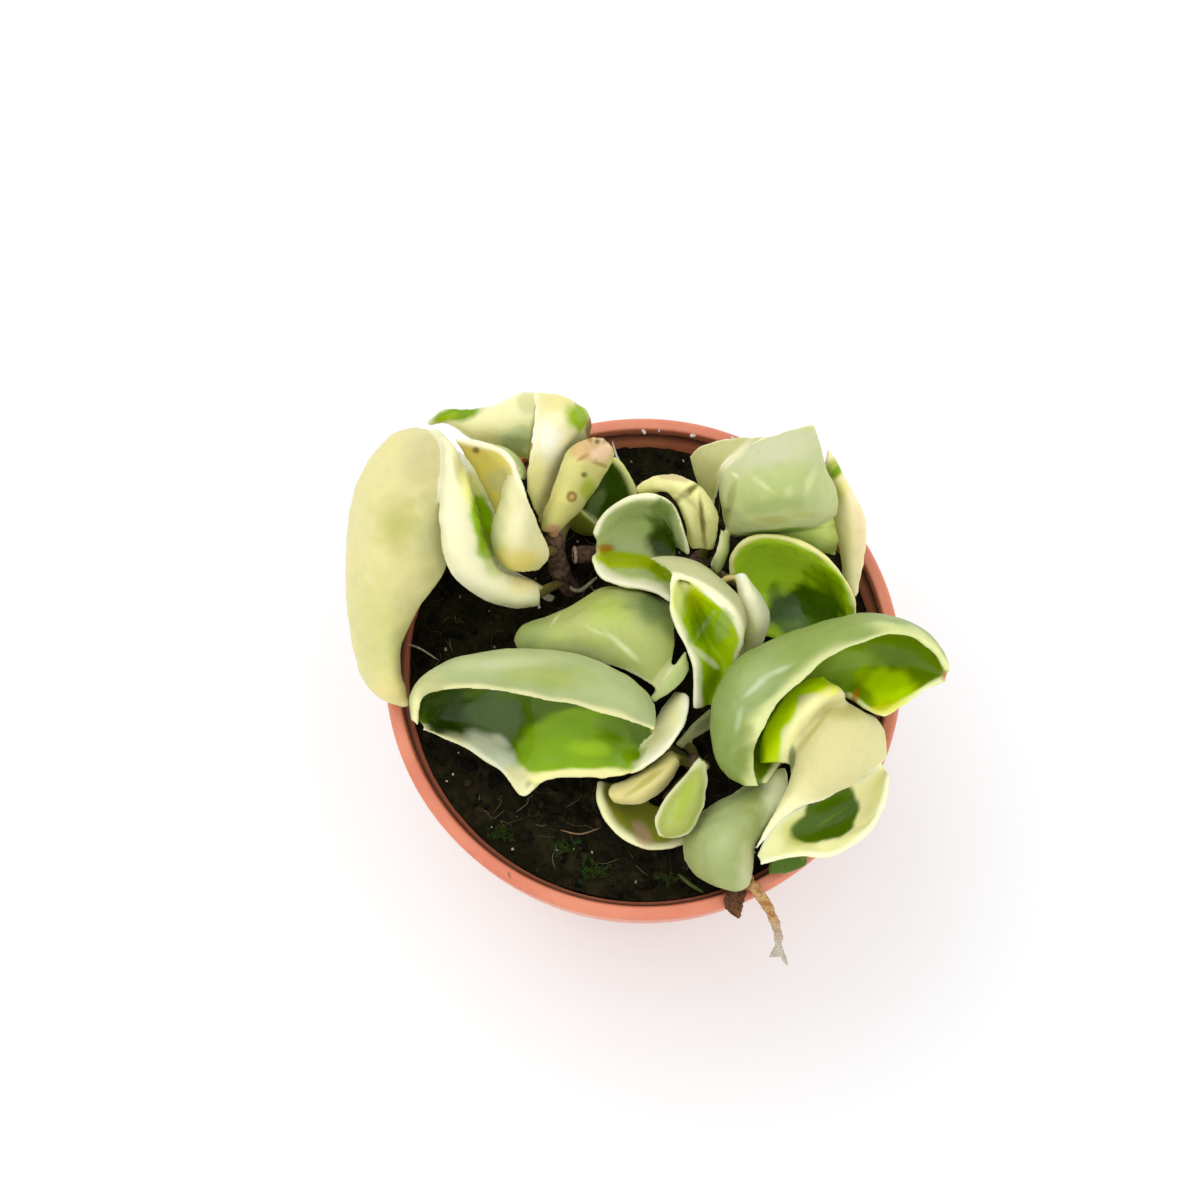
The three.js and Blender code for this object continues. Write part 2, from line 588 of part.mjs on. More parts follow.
// The boat-shaped leaf at the front left, its upper half turned over as a flap.
function frontBoatLeaf() {
  const flapMargin = [
    [-45.1, -13.1, 9], [-43.9, -7.3, 14], [-38.7, -5.7, 17], [-30.9, -5.7, 19], [-20.1, -7.7, 21],
    [-12.9, -9.1, 22], [-4.1, -11.7, 21], [2.3, -14.1, 17],
  ];
  const flapMiddle = [
    [-45.7, -12.1, 9], [-44.7, -6.1, 15], [-38.7, -2.9, 19], [-29.7, -1.9, 22], [-19.7, -3.1, 24],
    [-10.7, -4.9, 25], [-2.7, -7.9, 23], [2.5, -11.7, 17],
  ];
  const back = [
    [-46.1, -12.1, 7], [-45.5, -6.5, 11], [-41.5, -2.1, 14], [-32.7, 0.9, 16], [-22.7, 1.7, 17],
    [-12.7, 0.3, 18], [-3.7, -3.7, 18], [2.3, -9.3, 15],
  ];
  const depth = [
    [-44.7, -12.1, 4], [-42.3, -8.3, 4], [-37.7, -6.7, 3], [-30.7, -6.3, 3], [-24.7, -7.3, 3.5],
    [-19.7, -8.7, 7], [-12.7, -10.1, 8.5], [-4.7, -12.1, 7], [1.3, -14.7, 8],
  ];
  const floor = [
    [-43.9, -12.9, 3], [-40.7, -12.1, 0], [-35.7, -12.7, -1], [-28.7, -14.7, -2], [-25.1, -17.1, -1],
    [-20.5, -15.9, 4.5], [-12.7, -16.1, 7], [-5.1, -17.3, 6], [0.9, -17.7, 6],
  ];
  const lowMargin = [
    [-44.3, -13.5, 4], [-40.1, -15.1, 3], [-33.7, -18.5, 2], [-28.1, -22.5, 2], [-24.1, -27.3, 3],
    [-19.7, -24.1, 4], [-12.7, -23.5, 5], [-5.7, -23.3, 6], [0.3, -21.3, 9],
  ];
  const endInside = [[-0.7, -15.7, 5], [2.3, -12.1, 4.5], [4.3, -8.5, 4.5], [6.5, -5.9, 5]];
  const endMiddle = [[-0.7, -20.1, 8], [3.7, -15.1, 9.5], [6.9, -10.3, 9], [8.3, -6.1, 8.5]];
  const endMargin = [
    [-3.1, -22.9, 8], [2.3, -19.9, 11], [6.5, -15.3, 12.5], [8.9, -10.9, 11], [9.3, -6.9, 9.5],
  ];
  return {
    sheets: [
      { rails: [flapMargin, flapMiddle, back, depth, floor, lowMargin], along: 14, across: 10 },
      { rails: [endInside, endMiddle, endMargin], along: 7, across: 4 },
    ],
    stalk: [[1.5, -15, 5], [4.5, -17, -1], [8.7, -19.5, -3.9]],
  };
}

// The large pale dome behind the boat-shaped leaf, with a pointed fold at its right end.
function centreDomeLeaf() {
  const top = [
    [-25.7, 3.9, 4], [-24.5, 7.1, 6], [-19.9, 8.5, 6], [-13.5, 11.5, 6], [-7.5, 14.7, 6],
    [-0.7, 14.3, 7], [5.5, 11.3, 8],
  ];
  const middle = [
    [-25.1, 2.5, 7], [-22.1, 4.5, 11], [-16.7, 5.1, 14], [-8.7, 7.9, 18], [-0.7, 7.5, 18],
    [6.3, 4.3, 13],
  ];
  const bottom = [
    [-24.3, 1.1, 6], [-19.1, -0.3, 9], [-12.7, 0.3, 12], [-4.7, -1.5, 14], [1.3, -4.7, 13],
    [4.1, -7.1, 9],
  ];
  const foldUpper = [[8.5, 2.7, 13], [6.5, -0.3, 13], [3.9, -4.1, 12.5], [1.3, -7.5, 11]];
  const foldLower = [[9.1, -1.7, 10.5], [7.7, -4.3, 10.3], [5.1, -6.3, 10], [1.9, -8.3, 9]];
  return {
    sheets: [
      { rails: [top, middle, bottom], along: 11, across: 8 },
      { rails: [foldUpper, foldLower], along: 6, across: 2 },
    ],
    stalk: [[4.9, 10.3, 9], [5, 10.9, 2], [5.5, 11.5, -3.6]],
  };
}

// A small pale leaf low between the front stems.
function smallPaleLeaf() {
  const upper = [[6.1, -16.7, 2], [9.7, -12.5, 3], [13.5, -9.1, 2.5]];
  const lower = [[7.3, -17.5, 0], [10.3, -15.3, 0], [13.9, -13.3, -1]];
  return {
    sheets: [
      { rails: [upper, lower], along: 7, across: 3 },
    ],
    stalk: [[8.3, -16.5, 0], [9.6, -17.6, -0.6], [10.2, -19, -1]],
  };
}

// The rosette at the front: an open cup, a folded tongue and a plump leaf.
function rosetteCupLeaf() {
  const rim = [
    [-9.3, -23.5, 1.5], [-9.3, -27.1, 4], [-7.9, -31.1, 5], [-5.1, -34.7, 4], [-0.7, -37.1, 3],
    [3.7, -37.7, 1], [9.3, -36.3, -1],
  ];
  const wallLine = [
    [-7.5, -23.9, -0.5], [-7.5, -27.3, 0.5], [-6.1, -30.1, 0.5], [-3.7, -32.9, 0.5],
    [-0.3, -34.9, -0.5], [3.3, -35.7, -1.5], [8.1, -34.1, -2.5],
  ];
  const depth = [
    [-4.3, -24.1, -3], [-4.3, -27.1, -2.7], [-3.1, -28.9, -3], [-1.3, -30.5, -3], [0.9, -31.7, -3.4],
    [3.3, -32.1, -3.8], [6.5, -31.3, -3.8],
  ];
  const bottom = [
    [0.3, -23.7, -4], [0.1, -25.7, -4], [0.5, -27.1, -4.2], [1.3, -28.1, -4.2], [2.5, -28.7, -4.2],
    [3.7, -28.9, -4.2], [5.3, -28.3, -4.2],
  ];
  return {
    sheets: [
      { rails: [rim, wallLine, depth, bottom], along: 9, across: 6 },
    ],
    stalk: [[4.3, -27.9, -4], [7, -24.9, -3.9], [9.8, -21.9, -3.6]],
  };
}

function rosetteTongueLeaf() {
  const top = [[-6.7, -24.9, 2.5], [-2.3, -23.1, 3], [2.3, -20.3, 4.5], [5.7, -17.7, 5]];
  const crest = [[-7.1, -26.5, 4], [-2.3, -26.3, 6.5], [2.7, -23.1, 8], [6.9, -19.1, 7.5]];
  const bottom = [[-6.1, -28.3, 2], [-0.7, -28.5, 3.5], [3.7, -25.9, 4.5], [6.9, -21.3, 4.5]];
  return {
    sheets: [
      { rails: [top, crest, bottom], along: 8, across: 5 },
    ],
    stalk: [[6.4, -19.3, 6.5], [7.6, -19.9, 3.5], [9.7, -20.2, 1]],
  };
}

function rosettePlumpLeaf() {
  const left = [[11.1, -18.9, 8], [8.1, -22.9, 9], [4.3, -27.3, 8.5], [2.1, -31.7, 6], [2.9, -35.1, 4]];
  const crest = [[12, -20.1, 8.5], [10, -24.7, 11.3], [6.7, -30.3, 11.5], [4.3, -35.3, 4.8]];
  const right = [
    [12.9, -21.1, 8], [12.5, -25.7, 8], [11.3, -30.7, 7], [9.1, -34.3, 5.5], [5.9, -35.7, 5],
  ];
  return {
    sheets: [
      { rails: [left, crest, right], along: 8, across: 6 },
    ],
    stalk: [[11.9, -20.9, 8.5], [12.3, -20.7, 5], [10.9, -20.3, 2]],
  };
}

// The long arched leaf on the right: a high hood over an open, bright inner side.
function rightArchLeaf() {
  const hoodMargin = [
    [23.3, -25.1, 13], [22.1, -20.3, 15], [22.9, -16.1, 17], [24.9, -12.1, 20], [27.5, -7.9, 23],
    [31.3, -4.3, 26], [37.9, 1.3, 29], [44.3, 4.1, 30], [50.3, 5.5, 28], [54.9, 4.3, 24],
    [58.9, 0.7, 17], [60.9, -2.9, 13],
  ];
  const hood = [
    [21.7, -25.1, 13], [18.9, -20.7, 14], [18.5, -15.3, 17], [19.3, -9.7, 21], [22.3, -4.7, 25],
    [28.3, -0.7, 29], [36.3, 3.7, 32], [44.3, 6.3, 32], [51.3, 6.5, 28], [57.3, 3.3, 20],
    [60.9, -1.7, 14],
  ];
  const back = [
    [20.9, -24.7, 11], [16.1, -20.9, 10], [14.3, -13.7, 11], [15.1, -6.7, 12.5], [19.3, -0.3, 15],
    [27.3, 3.9, 17], [36.3, 6.9, 18], [45.3, 8.5, 19], [53.3, 6.9, 18], [58.7, 2.3, 15],
    [61.3, -2.1, 13],
  ];
  const depth = [
    [21.7, -24.3, 9], [19.7, -19.7, 6], [19.3, -13.3, 5], [20.7, -7.7, 5], [24.9, -3.3, 6],
    [31.3, 0.3, 9], [38.3, 2.7, 11], [45.7, 3.9, 12], [52.3, 2.7, 12], [57.7, -0.1, 12],
    [60.7, -2.7, 12],
  ];
  const floor = [
    [22.9, -24.1, 8], [23.3, -18.7, 4], [24.3, -13.3, 3], [26.9, -8.9, 4], [31.3, -6.1, 6],
    [36.9, -3.3, 8], [42.3, -2.1, 9], [48.3, -1.7, 10], [53.7, -2.1, 11], [57.9, -2.5, 11],
    [60.5, -3.5, 11.5],
  ];
  const lowMargin = [
    [24.5, -24.5, 9], [27.7, -20.1, 6], [30.9, -15.3, 6], [34.3, -10.9, 8], [37.7, -7.3, 11],
    [41.7, -7.1, 14], [44.9, -9.7, 15], [48.3, -10.9, 16], [52.9, -8.1, 16], [57.3, -5.3, 14],
    [60.7, -3.9, 12],
  ];
  return {
    sheets: [
      { rails: [hoodMargin, hood, back, depth, floor, lowMargin], along: 15, across: 11 },
    ],
    stalk: [[21.7, -23.7, 10], [20.9, -21, 6], [21.9, -19.9, 1.5], [23, -20.5, -1]],
  };
}

// The cream leaf inside the arch: a lime strip, a ridge and a broad dome.
function rightInnerLeaf() {
  const limeEdge = [
    [22.9, -20.5, 8.5], [23.1, -16.5, 10], [25.1, -11.5, 12.5], [28.3, -6.9, 15.5],
    [32.7, -3.5, 18], [36.1, -2.9, 18],
  ];
  const limeMiddle = [
    [25.3, -20.5, 9.5], [25.5, -16.3, 11.5], [27.5, -11.7, 14.5], [30.5, -7.7, 17.5],
    [33.9, -5.1, 19.5], [37.7, -4.3, 19.3],
  ];
  const ridge = [
    [28.3, -20.5, 10.3], [28.9, -16.7, 13], [30.7, -12.3, 17], [33.5, -8.7, 20], [37.3, -6.1, 21],
    [39.9, -5.7, 20],
  ];
  const crease = [
    [29.5, -20.9, 9.6], [30.7, -15.7, 12], [33.7, -11.3, 14.5], [37.1, -8.3, 16], [41.3, -8.3, 15],
  ];
  const domeUpper = [
    [29.9, -23.9, 9.3], [32.7, -17.1, 15], [37.3, -12.7, 18.5], [42.3, -11.5, 16.5],
    [47.5, -12.7, 11],
  ];
  const domeMiddle = [
    [26.5, -30.3, 9.5], [31.7, -24.5, 13.5], [37.5, -20.1, 16.5], [43.3, -17.7, 15.5],
    [48.5, -16.3, 11],
  ];
  const domeBottom = [
    [21.3, -39.3, 9.5], [25.5, -33.3, 10.5], [30.3, -29.9, 11.3], [36.1, -27.7, 12],
    [41.7, -24.9, 12.3], [46.1, -21.9, 12], [48.5, -19.5, 10.5],
  ];
  return {
    sheets: [
      {
        rails: [limeEdge, limeMiddle, ridge, crease, domeUpper, domeMiddle, domeBottom],
        along: 11,
        across: 11,
      },
    ],
    stalk: [[30.3, -22.1, 9.3], [30.3, -19.1, 5], [28.3, -18.7, 1], [25.9, -20.9, -1.4]],
  };
}

// The cup at the front right, open towards the viewer, with a dark fold below its rim.
function frontRightCupLeaf() {
  const upperMargin = [
    [22.3, -38.9, 6.2], [25.5, -34.3, 6.5], [28.9, -31.1, 6.8], [33.3, -29.3, 6.8],
    [37.7, -27.3, 6.8], [41.9, -24.7, 7], [45.1, -22.3, 7], [47.3, -19.9, 6.4],
  ];
  const upperInside = [
    [22.7, -39.3, 6], [26.3, -35.7, 5], [29.7, -32.9, 4], [33.7, -30.7, 3.5], [37.7, -29.1, 3],
    [41.5, -27.1, 3], [45.1, -24.3, 4], [47.9, -20.5, 5.6],
  ];
  const depth = [
    [23, -39.7, 6], [27.3, -36.9, 4.5], [31.3, -34.9, 3], [35.3, -33.7, 2.5], [39.3, -32.1, 2.5],
    [42.9, -29.7, 3], [45.9, -26.1, 3.5], [48.3, -21.1, 5.4],
  ];
  const lowerInside = [
    [23.3, -40.1, 6.3], [27.7, -37.9, 5], [32.3, -36.9, 4], [36.9, -36.3, 4], [41.3, -34.3, 4],
    [44.9, -31.1, 4], [47.3, -26.9, 5], [48.6, -21.7, 5.8],
  ];
  const lowerRim = [
    [23.3, -40.7, 6.8], [27.3, -39.5, 7], [31.9, -38.7, 7], [36.9, -39.1, 7], [41.5, -37.1, 8],
    [45.5, -33.5, 8], [47.9, -28.9, 8.5], [48.9, -22.3, 7],
  ];
  const foldTop = [[25.5, -39.3, 5], [29.3, -38.1, 4.5], [33, -37.5, 4.5]];
  const foldLow = [[24.7, -42.7, 2.5], [29.3, -42.5, 2], [33.1, -40.5, 2.2]];
  return {
    sheets: [
      { rails: [upperMargin, upperInside, depth, lowerInside, lowerRim], along: 11, across: 8 },
      { rails: [foldTop, foldLow], along: 5, across: 2 },
    ],
    stalk: [[31.3, -33.9, 3.5], [29.7, -31.5, -2.5], [26.3, -26.9, -4.3], [24.2, -24.7, -4.3]],
  };
}

// The pale green dome that leans on the front of the rim.
function frontDomeLeaf() {
  const left = [
    [24.3, -21.9, 3], [17.9, -26.3, 3.2], [11.9, -30.1, 1.7], [8.1, -35.9, 1.4], [8.7, -40.5, 2],
    [13.3, -44.3, 2.5], [18.5, -45.9, 4],
  ];
  const crest = [
    [26.1, -21.1, 4], [23.7, -25.9, 4.9], [20.3, -29.9, 9], [16.9, -35.3, 12.8],
    [15.9, -39.9, 11.5], [17.7, -43.7, 7.5], [19.7, -45.7, 4.5],
  ];
  const right = [
    [28.7, -20.9, 3.6], [28.9, -25.3, 3.2], [26.3, -30.7, 3], [22.5, -36.3, 2.8],
    [21.9, -41.3, 3.6], [21.1, -45.3, 4],
  ];
  return {
    sheets: [
      { rails: [left, crest, right], along: 11, across: 7 },
    ],
    stalk: [[22.9, -28.3, 6.5], [23.3, -27.3, 2], [23.7, -26.1, -2]],
  };
}

const leaves = [
  { name: "leaf_left_outer", make: leftOuterLeaf, color: 0xdfdcaa },
  { name: "leaf_left_inner", make: leftInnerLeaf, color: 0xe3dc9f },
  { name: "leaf_back_twisted", make: backTwistedLeaf, color: 0xdedbb0 },
  { name: "leaf_back_scarred", make: backScarredLeaf, color: 0xcfc083 },
  { name: "leaf_back_green", make: backGreenLeaf, color: 0x2f4a12 },
  { name: "leaf_centre_cup", make: centreCupLeaf, color: 0x8ea35c },
  { name: "leaf_centre_arch", make: centreArchLeaf, color: 0xd9d48a },
  { name: "leaf_back_puffed", make: backPuffedLeaf, color: 0xa9bb78 },
  { name: "leaf_far_right", make: farRightLeaf, color: 0xcfc79b },
  { name: "leaf_right_cup", make: rightCupLeaf, color: 0x5b8a0c },
  { name: "leaf_small_cream", make: smallCreamLeaf, color: 0xe4dcb4 },
  { name: "leaf_centre_twisted", make: centreTwistedLeaf, color: 0xb9c98a },
  { name: "leaf_front_boat", make: frontBoatLeaf, color: 0xa7b878 },
  { name: "leaf_centre_dome", make: centreDomeLeaf, color: 0x9fb26a },
  { name: "leaf_small_pale", make: smallPaleLeaf, color: 0xb4b88c },
  { name: "leaf_rosette_cup", make: rosetteCupLeaf, color: 0xc9c78c },
  { name: "leaf_rosette_tongue", make: rosetteTongueLeaf, color: 0xc6bd83 },
  { name: "leaf_rosette_plump", make: rosettePlumpLeaf, color: 0xc3cc7a },
  { name: "leaf_right_arch", make: rightArchLeaf, color: 0x97ab6c },
  { name: "leaf_right_inner", make: rightInnerLeaf, color: 0xe2dfa2 },
  { name: "leaf_front_right_cup", make: frontRightCupLeaf, color: 0xd7d692 },
  { name: "leaf_front_dome", make: frontDomeLeaf, color: 0xa5ba80 },
];

function buildStem({ line, radii }, extra = 0) {
  return rod(line, radii[0] + extra, radii[1] + extra, stemSides);
}

function addPot() {
  const wallAt = (z) => baseRadius + potTaper * z;
  const collarFoot = potHeight - collarHeight;
  const profile = [
    [0, 0],
    [baseRadius - 1, 0],
    [baseRadius, 1],
    [wallAt(collarFoot), collarFoot - 1.5],
    [rimRadius - 1.2, collarFoot],
    [rimRadius, potHeight - 1.2],
    [rimRadius - 1, potHeight],
    [rimRadius - lipWidth + 0.7, potHeight],
    [rimRadius - lipWidth, potHeight - 0.7],
    [wallAt(potHeight - 4) - wall / 2, potHeight - 4],
    [baseRadius - wall, floorThickness + 1],
    [baseRadius - wall - 1, floorThickness],
    [0, floorThickness],
  ].map(([radius, z]) => new THREE.Vector2(radius, z));
  const lathe = new THREE.LatheGeometry(profile, potSides);
  lathe.rotateX(Math.PI / 2);
  let pot = solidOf(lathe);
  for (let k = 0; k < drainHoles; k += 1) {
    const angle = 2 * Math.PI * (k + 0.5) / drainHoles;
    const hole = new THREE.CylinderGeometry(drainRadius, drainRadius, 4 * floorThickness, drainSides);
    hole.rotateX(Math.PI / 2);
    hole.translate(drainRing * Math.cos(angle), drainRing * Math.sin(angle), 0);
    pot = pot.subtract(solidOf(hole));
  }
  addPiece("pot", pot, 0xd9785a, 0.5);
}

// The soil fills the pot to a little below the rim, with an uneven top and a hole for each stem.
function addSoil() {
  const topZ = potHeight - soilDepth;
  const topRadius = baseRadius + potTaper * topZ - wall / 2 - 2 * fit;
  const lowRadius = baseRadius - wall - 1 - 2 * fit;
  const lowZ = floorThickness + fit;
  const positions = [0, 0, topZ];
  for (let ring = 1; ring <= soilRings; ring += 1) {
    for (let k = 0; k < soilSides; k += 1) {
      const angle = 2 * Math.PI * k / soilSides;
      const x = topRadius * ring / soilRings * Math.cos(angle);
      const y = topRadius * ring / soilRings * Math.sin(angle);
      const waves = Math.sin(x * 0.31 + y * 0.17) + Math.sin(y * 0.42 - x * 0.12);
      positions.push(x, y, topZ + soilRelief * waves);
    }
  }
  const low = positions.length / 3;
  for (let k = 0; k < soilSides; k += 1) {
    const angle = 2 * Math.PI * k / soilSides;
    positions.push(lowRadius * Math.cos(angle), lowRadius * Math.sin(angle), lowZ);
  }
  positions.push(0, 0, lowZ);
  const lowMiddle = low + soilSides;
  const indices = [];
  for (let k = 0; k < soilSides; k += 1) {
    const next = (k + 1) % soilSides;
    indices.push(0, 1 + k, 1 + next);
    for (let ring = 1; ring < soilRings; ring += 1) {
      const inner = 1 + (ring - 1) * soilSides;
      const outer = inner + soilSides;
      indices.push(inner + k, outer + k, outer + next, inner + k, outer + next, inner + next);
    }
    const edge = low - soilSides;
    indices.push(edge + k, low + k, low + next, edge + k, low + next, edge + next);
    indices.push(lowMiddle, low + next, low + k);
  }
  let soil = solidFrom(positions, indices);
  for (const stem of Object.values(stems)) {
    soil = soil.subtract(buildStem(stem, stemHoleGap));
  }
  addPiece("soil", soil, 0x1d1610, 0.95);
}

function addStems() {
  for (const [name, stem] of Object.entries(stems)) {
    addPiece(name, buildStem(stem), 0x5a4030, 0.8);
  }
}

// The largest body of a solid: what is left past a stem after the cut goes.
function mainBody(solid) {
  const bodies = solid.decompose();
  bodies.sort((a, b) => b.volume() - a.volume());
  return bodies[0];
}

// Each leaf is one body, cut back where its stalk meets the stems.
function addLeaves() {
  for (const { name, make, color } of leaves) {
    const { sheets, stalk } = make();
    let leaf = rod(stalk, stalkRadius, stalkRadius, stalkSides);
    for (const part of sheets) {
      leaf = leaf.add(sheet(part));
    }
    for (const stem of Object.values(stems)) {
      leaf = leaf.subtract(buildStem(stem, fit));
    }
    addPiece(name, mainBody(leaf), color, 0.45);
  }
}

// A dry brown chip lies on the front of the rim.
function addDryChip() {
  const left = [[16.5, -45.9, 0.9], [16.1, -47.7, 0.9], [16.3, -49.5, 0.6]];
  const middle = [[18.6, -45.5, 1], [18, -48.1, 1], [18.1, -51, 0.4]];
  const right = [[20.7, -45.9, 0.9], [20.1, -48.7, 0.8], [19.3, -51.7, 0.1]];
  const chip = sheet({ rails: [left, middle, right], along: 4, across: 4, thickness: 0.9, margin: 0.7 });
  addPiece("dry_chip", chip, 0x6d4a2e, 0.9);
}

// A dried strand lies on the soil, climbs over the front of the rim, hangs down and splits in two.
function addDriedStrand() {
  const strand = [
    [18.3, -36.7, -4.2], [19.5, -40.5, -2.4], [20.9, -43.5, 1.4], [22.5, -45.7, 2], [24.1, -47.7, 1],
    [25.7, -50.7, -3], [26.7, -53.5, -8], [27.1, -56.3, -13], [27.1, -58.5, -17],
  ];
  const leftEnd = [[27.1, -56.3, -13], [26.3, -58.1, -16.5], [25.3, -59.1, -19]];
  const rightEnd = [[27.1, -56.7, -13.8], [28.1, -59.3, -18], [28.9, -60.9, -21]];
  const body = rod(strand, 1.3, 0.7, stalkSides)
    .add(rod(leftEnd, 0.7, 0.5, stalkSides))
    .add(rod(rightEnd, 0.7, 0.5, stalkSides));
  addPiece("dried_strand", body, 0xb98a52, 0.85);
}

addPot();
addSoil();
addStems();
addLeaves();
addDryChip();
addDriedStrand();

export default hoya;
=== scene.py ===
import math

import bmesh
import bpy
import numpy as np
from mathutils import Matrix, Vector
from mathutils.bvhtree import BVHTree


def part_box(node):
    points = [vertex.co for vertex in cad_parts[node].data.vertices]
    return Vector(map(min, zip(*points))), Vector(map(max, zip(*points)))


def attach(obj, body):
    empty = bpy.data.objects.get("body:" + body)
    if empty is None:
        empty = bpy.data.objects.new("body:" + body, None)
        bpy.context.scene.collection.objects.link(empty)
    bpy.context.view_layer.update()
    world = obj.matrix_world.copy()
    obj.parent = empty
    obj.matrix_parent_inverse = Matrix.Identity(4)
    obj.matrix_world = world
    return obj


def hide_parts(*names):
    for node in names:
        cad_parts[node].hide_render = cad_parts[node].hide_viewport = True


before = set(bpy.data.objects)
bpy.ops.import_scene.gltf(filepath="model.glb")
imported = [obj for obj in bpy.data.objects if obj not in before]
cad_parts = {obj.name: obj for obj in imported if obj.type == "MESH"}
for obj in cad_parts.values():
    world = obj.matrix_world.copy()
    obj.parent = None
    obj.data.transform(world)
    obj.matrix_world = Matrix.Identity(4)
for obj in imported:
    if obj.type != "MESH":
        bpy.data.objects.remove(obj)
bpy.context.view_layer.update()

# Lengths are in millimetres until a mesh is made.
MM = 0.001
TINY = 1e-9
BODY = "root"

# Pot and soil: height and rim come from the frame, the rest is as in the part's solids.
POT_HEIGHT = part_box("pot")[1][2] / MM
RIM_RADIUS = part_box("pot")[1][0] / MM
BASE_RADIUS = 36.0
WALL = 1.3
LIP_WIDTH = 2.8
COLLAR_HEIGHT = 13.0
FLOOR_THICKNESS = 1.6
POT_TAPER = (RIM_RADIUS - LIP_WIDTH - BASE_RADIUS) / POT_HEIGHT
DRAIN_HOLES = 6
DRAIN_RADIUS = 3.2
DRAIN_RING = 24.0
SOIL_DEPTH = 6.5
SOIL_RELIEF = 0.35

# Leaves
LEAF_THICKNESS = 1.9
MARGIN_THICKNESS = 1.1
FLESHY_FROM = 4.0
STALK_RADIUS = 1.1
LEAF_VOXEL = 0.39

# Stems and dry matter. The stems start inside the soil.
STEM_FOOT = -24
STEM_STEP = 0.35
DRY_SHEEN = 0.12

# The picture plane goes through the middle of the rim, square to the line of sight. Each outline
# is set out on it as (across, up), with the real height above the rim.
SIGHT_TILT = math.radians(15.5)
SIGHT_DISTANCE = 500.0
SIGHT_LEFT = 8.7
SIGHT_UP = 12.3
SENSOR = 36.0
LENS = 75.0
RIM_MIDDLE = np.array([0.0, 0.0, POT_HEIGHT])
PICTURE_RIGHT = np.array([1.0, 0.0, 0.0])
PICTURE_UP = np.array([0.0, math.cos(SIGHT_TILT), math.sin(SIGHT_TILT)])
PICTURE_OUT = np.array([0.0, -math.sin(SIGHT_TILT), math.cos(SIGHT_TILT)])
EYE = (RIM_MIDDLE - SIGHT_LEFT * PICTURE_RIGHT + SIGHT_UP * PICTURE_UP
       + SIGHT_DISTANCE * PICTURE_OUT)

# Colours that several leaves share, as red, green and blue from 0 to 255
WHITE = (250, 248, 238)
CREAM = (240, 236, 205)
PALE_YELLOW = (228, 222, 160)
KHAKI = (176, 170, 100)
TAN = (212, 178, 128)
PINK_TAN = (208, 168, 142)
BROWN = (118, 80, 46)
DARK_BROWN = (74, 54, 34)
ORANGE_BROWN = (172, 108, 50)
LIME = (150, 172, 30)
BRIGHT_GREEN = (110, 152, 8)
MID_GREEN = (92, 128, 16)
DARK_GREEN = (50, 76, 12)
OLIVE = (118, 122, 56)
GREY_GREEN = (158, 178, 122)
PALE_GREEN = (192, 204, 150)
DULL_GREEN = (112, 130, 80)


def linear(colour):
    """A colour from 0 to 255 as linear light."""
    share = np.array(colour, float) / 255
    return np.where(share < 0.04045, share / 12.92, ((share + 0.055) / 1.055) ** 2.4)


def smooth_step(low, high, value):
    share = np.clip((value - low) / (high - low), 0, 1)
    return share * share * (3 - 2 * share)


def unit(vectors):
    """Rows of vectors brought to length one."""
    return vectors / np.maximum(np.linalg.norm(vectors, axis=-1, keepdims=True), TINY)


def seen(points):
    """The places in space of points seen at (across, up) and lying at a height above the rim."""
    across, up, height = np.array(points, float).T
    on_picture = RIM_MIDDLE + across[:, None] * PICTURE_RIGHT + up[:, None] * PICTURE_UP
    share = (EYE[2] - POT_HEIGHT - height) / (EYE[2] - on_picture[:, 2])
    return EYE + (on_picture - EYE) * share[:, None]


def picture(points):
    """Where points in space are seen: across and up on the picture plane."""
    away = points - EYE
    scale = SIGHT_DISTANCE / -(away @ PICTURE_OUT)
    across = away @ PICTURE_RIGHT * scale - SIGHT_LEFT
    up = away @ PICTURE_UP * scale + SIGHT_UP
    return np.stack([across, up], axis=1)


def ripple(points, wavelength, seed):
    """Smooth irregular waves from about -1 to 1, the same at each run."""
    rng = np.random.default_rng(seed)
    total = np.zeros(len(points))
    waves = 9
    for _ in range(waves):
        direction = rng.normal(size=3)
        direction *= 2 * math.pi / wavelength / np.linalg.norm(direction)
        stretch = rng.uniform(0.6, 1.6)
        total += np.sin(points @ direction * stretch + rng.uniform(0, 2 * math.pi))
    return total / math.sqrt(waves)


def relief(points, *waves):
    """The height of ripples laid over each other, each given as (depth, wavelength, seed)."""
    return sum(depth * ripple(points, wavelength, seed) for depth, wavelength, seed in waves)


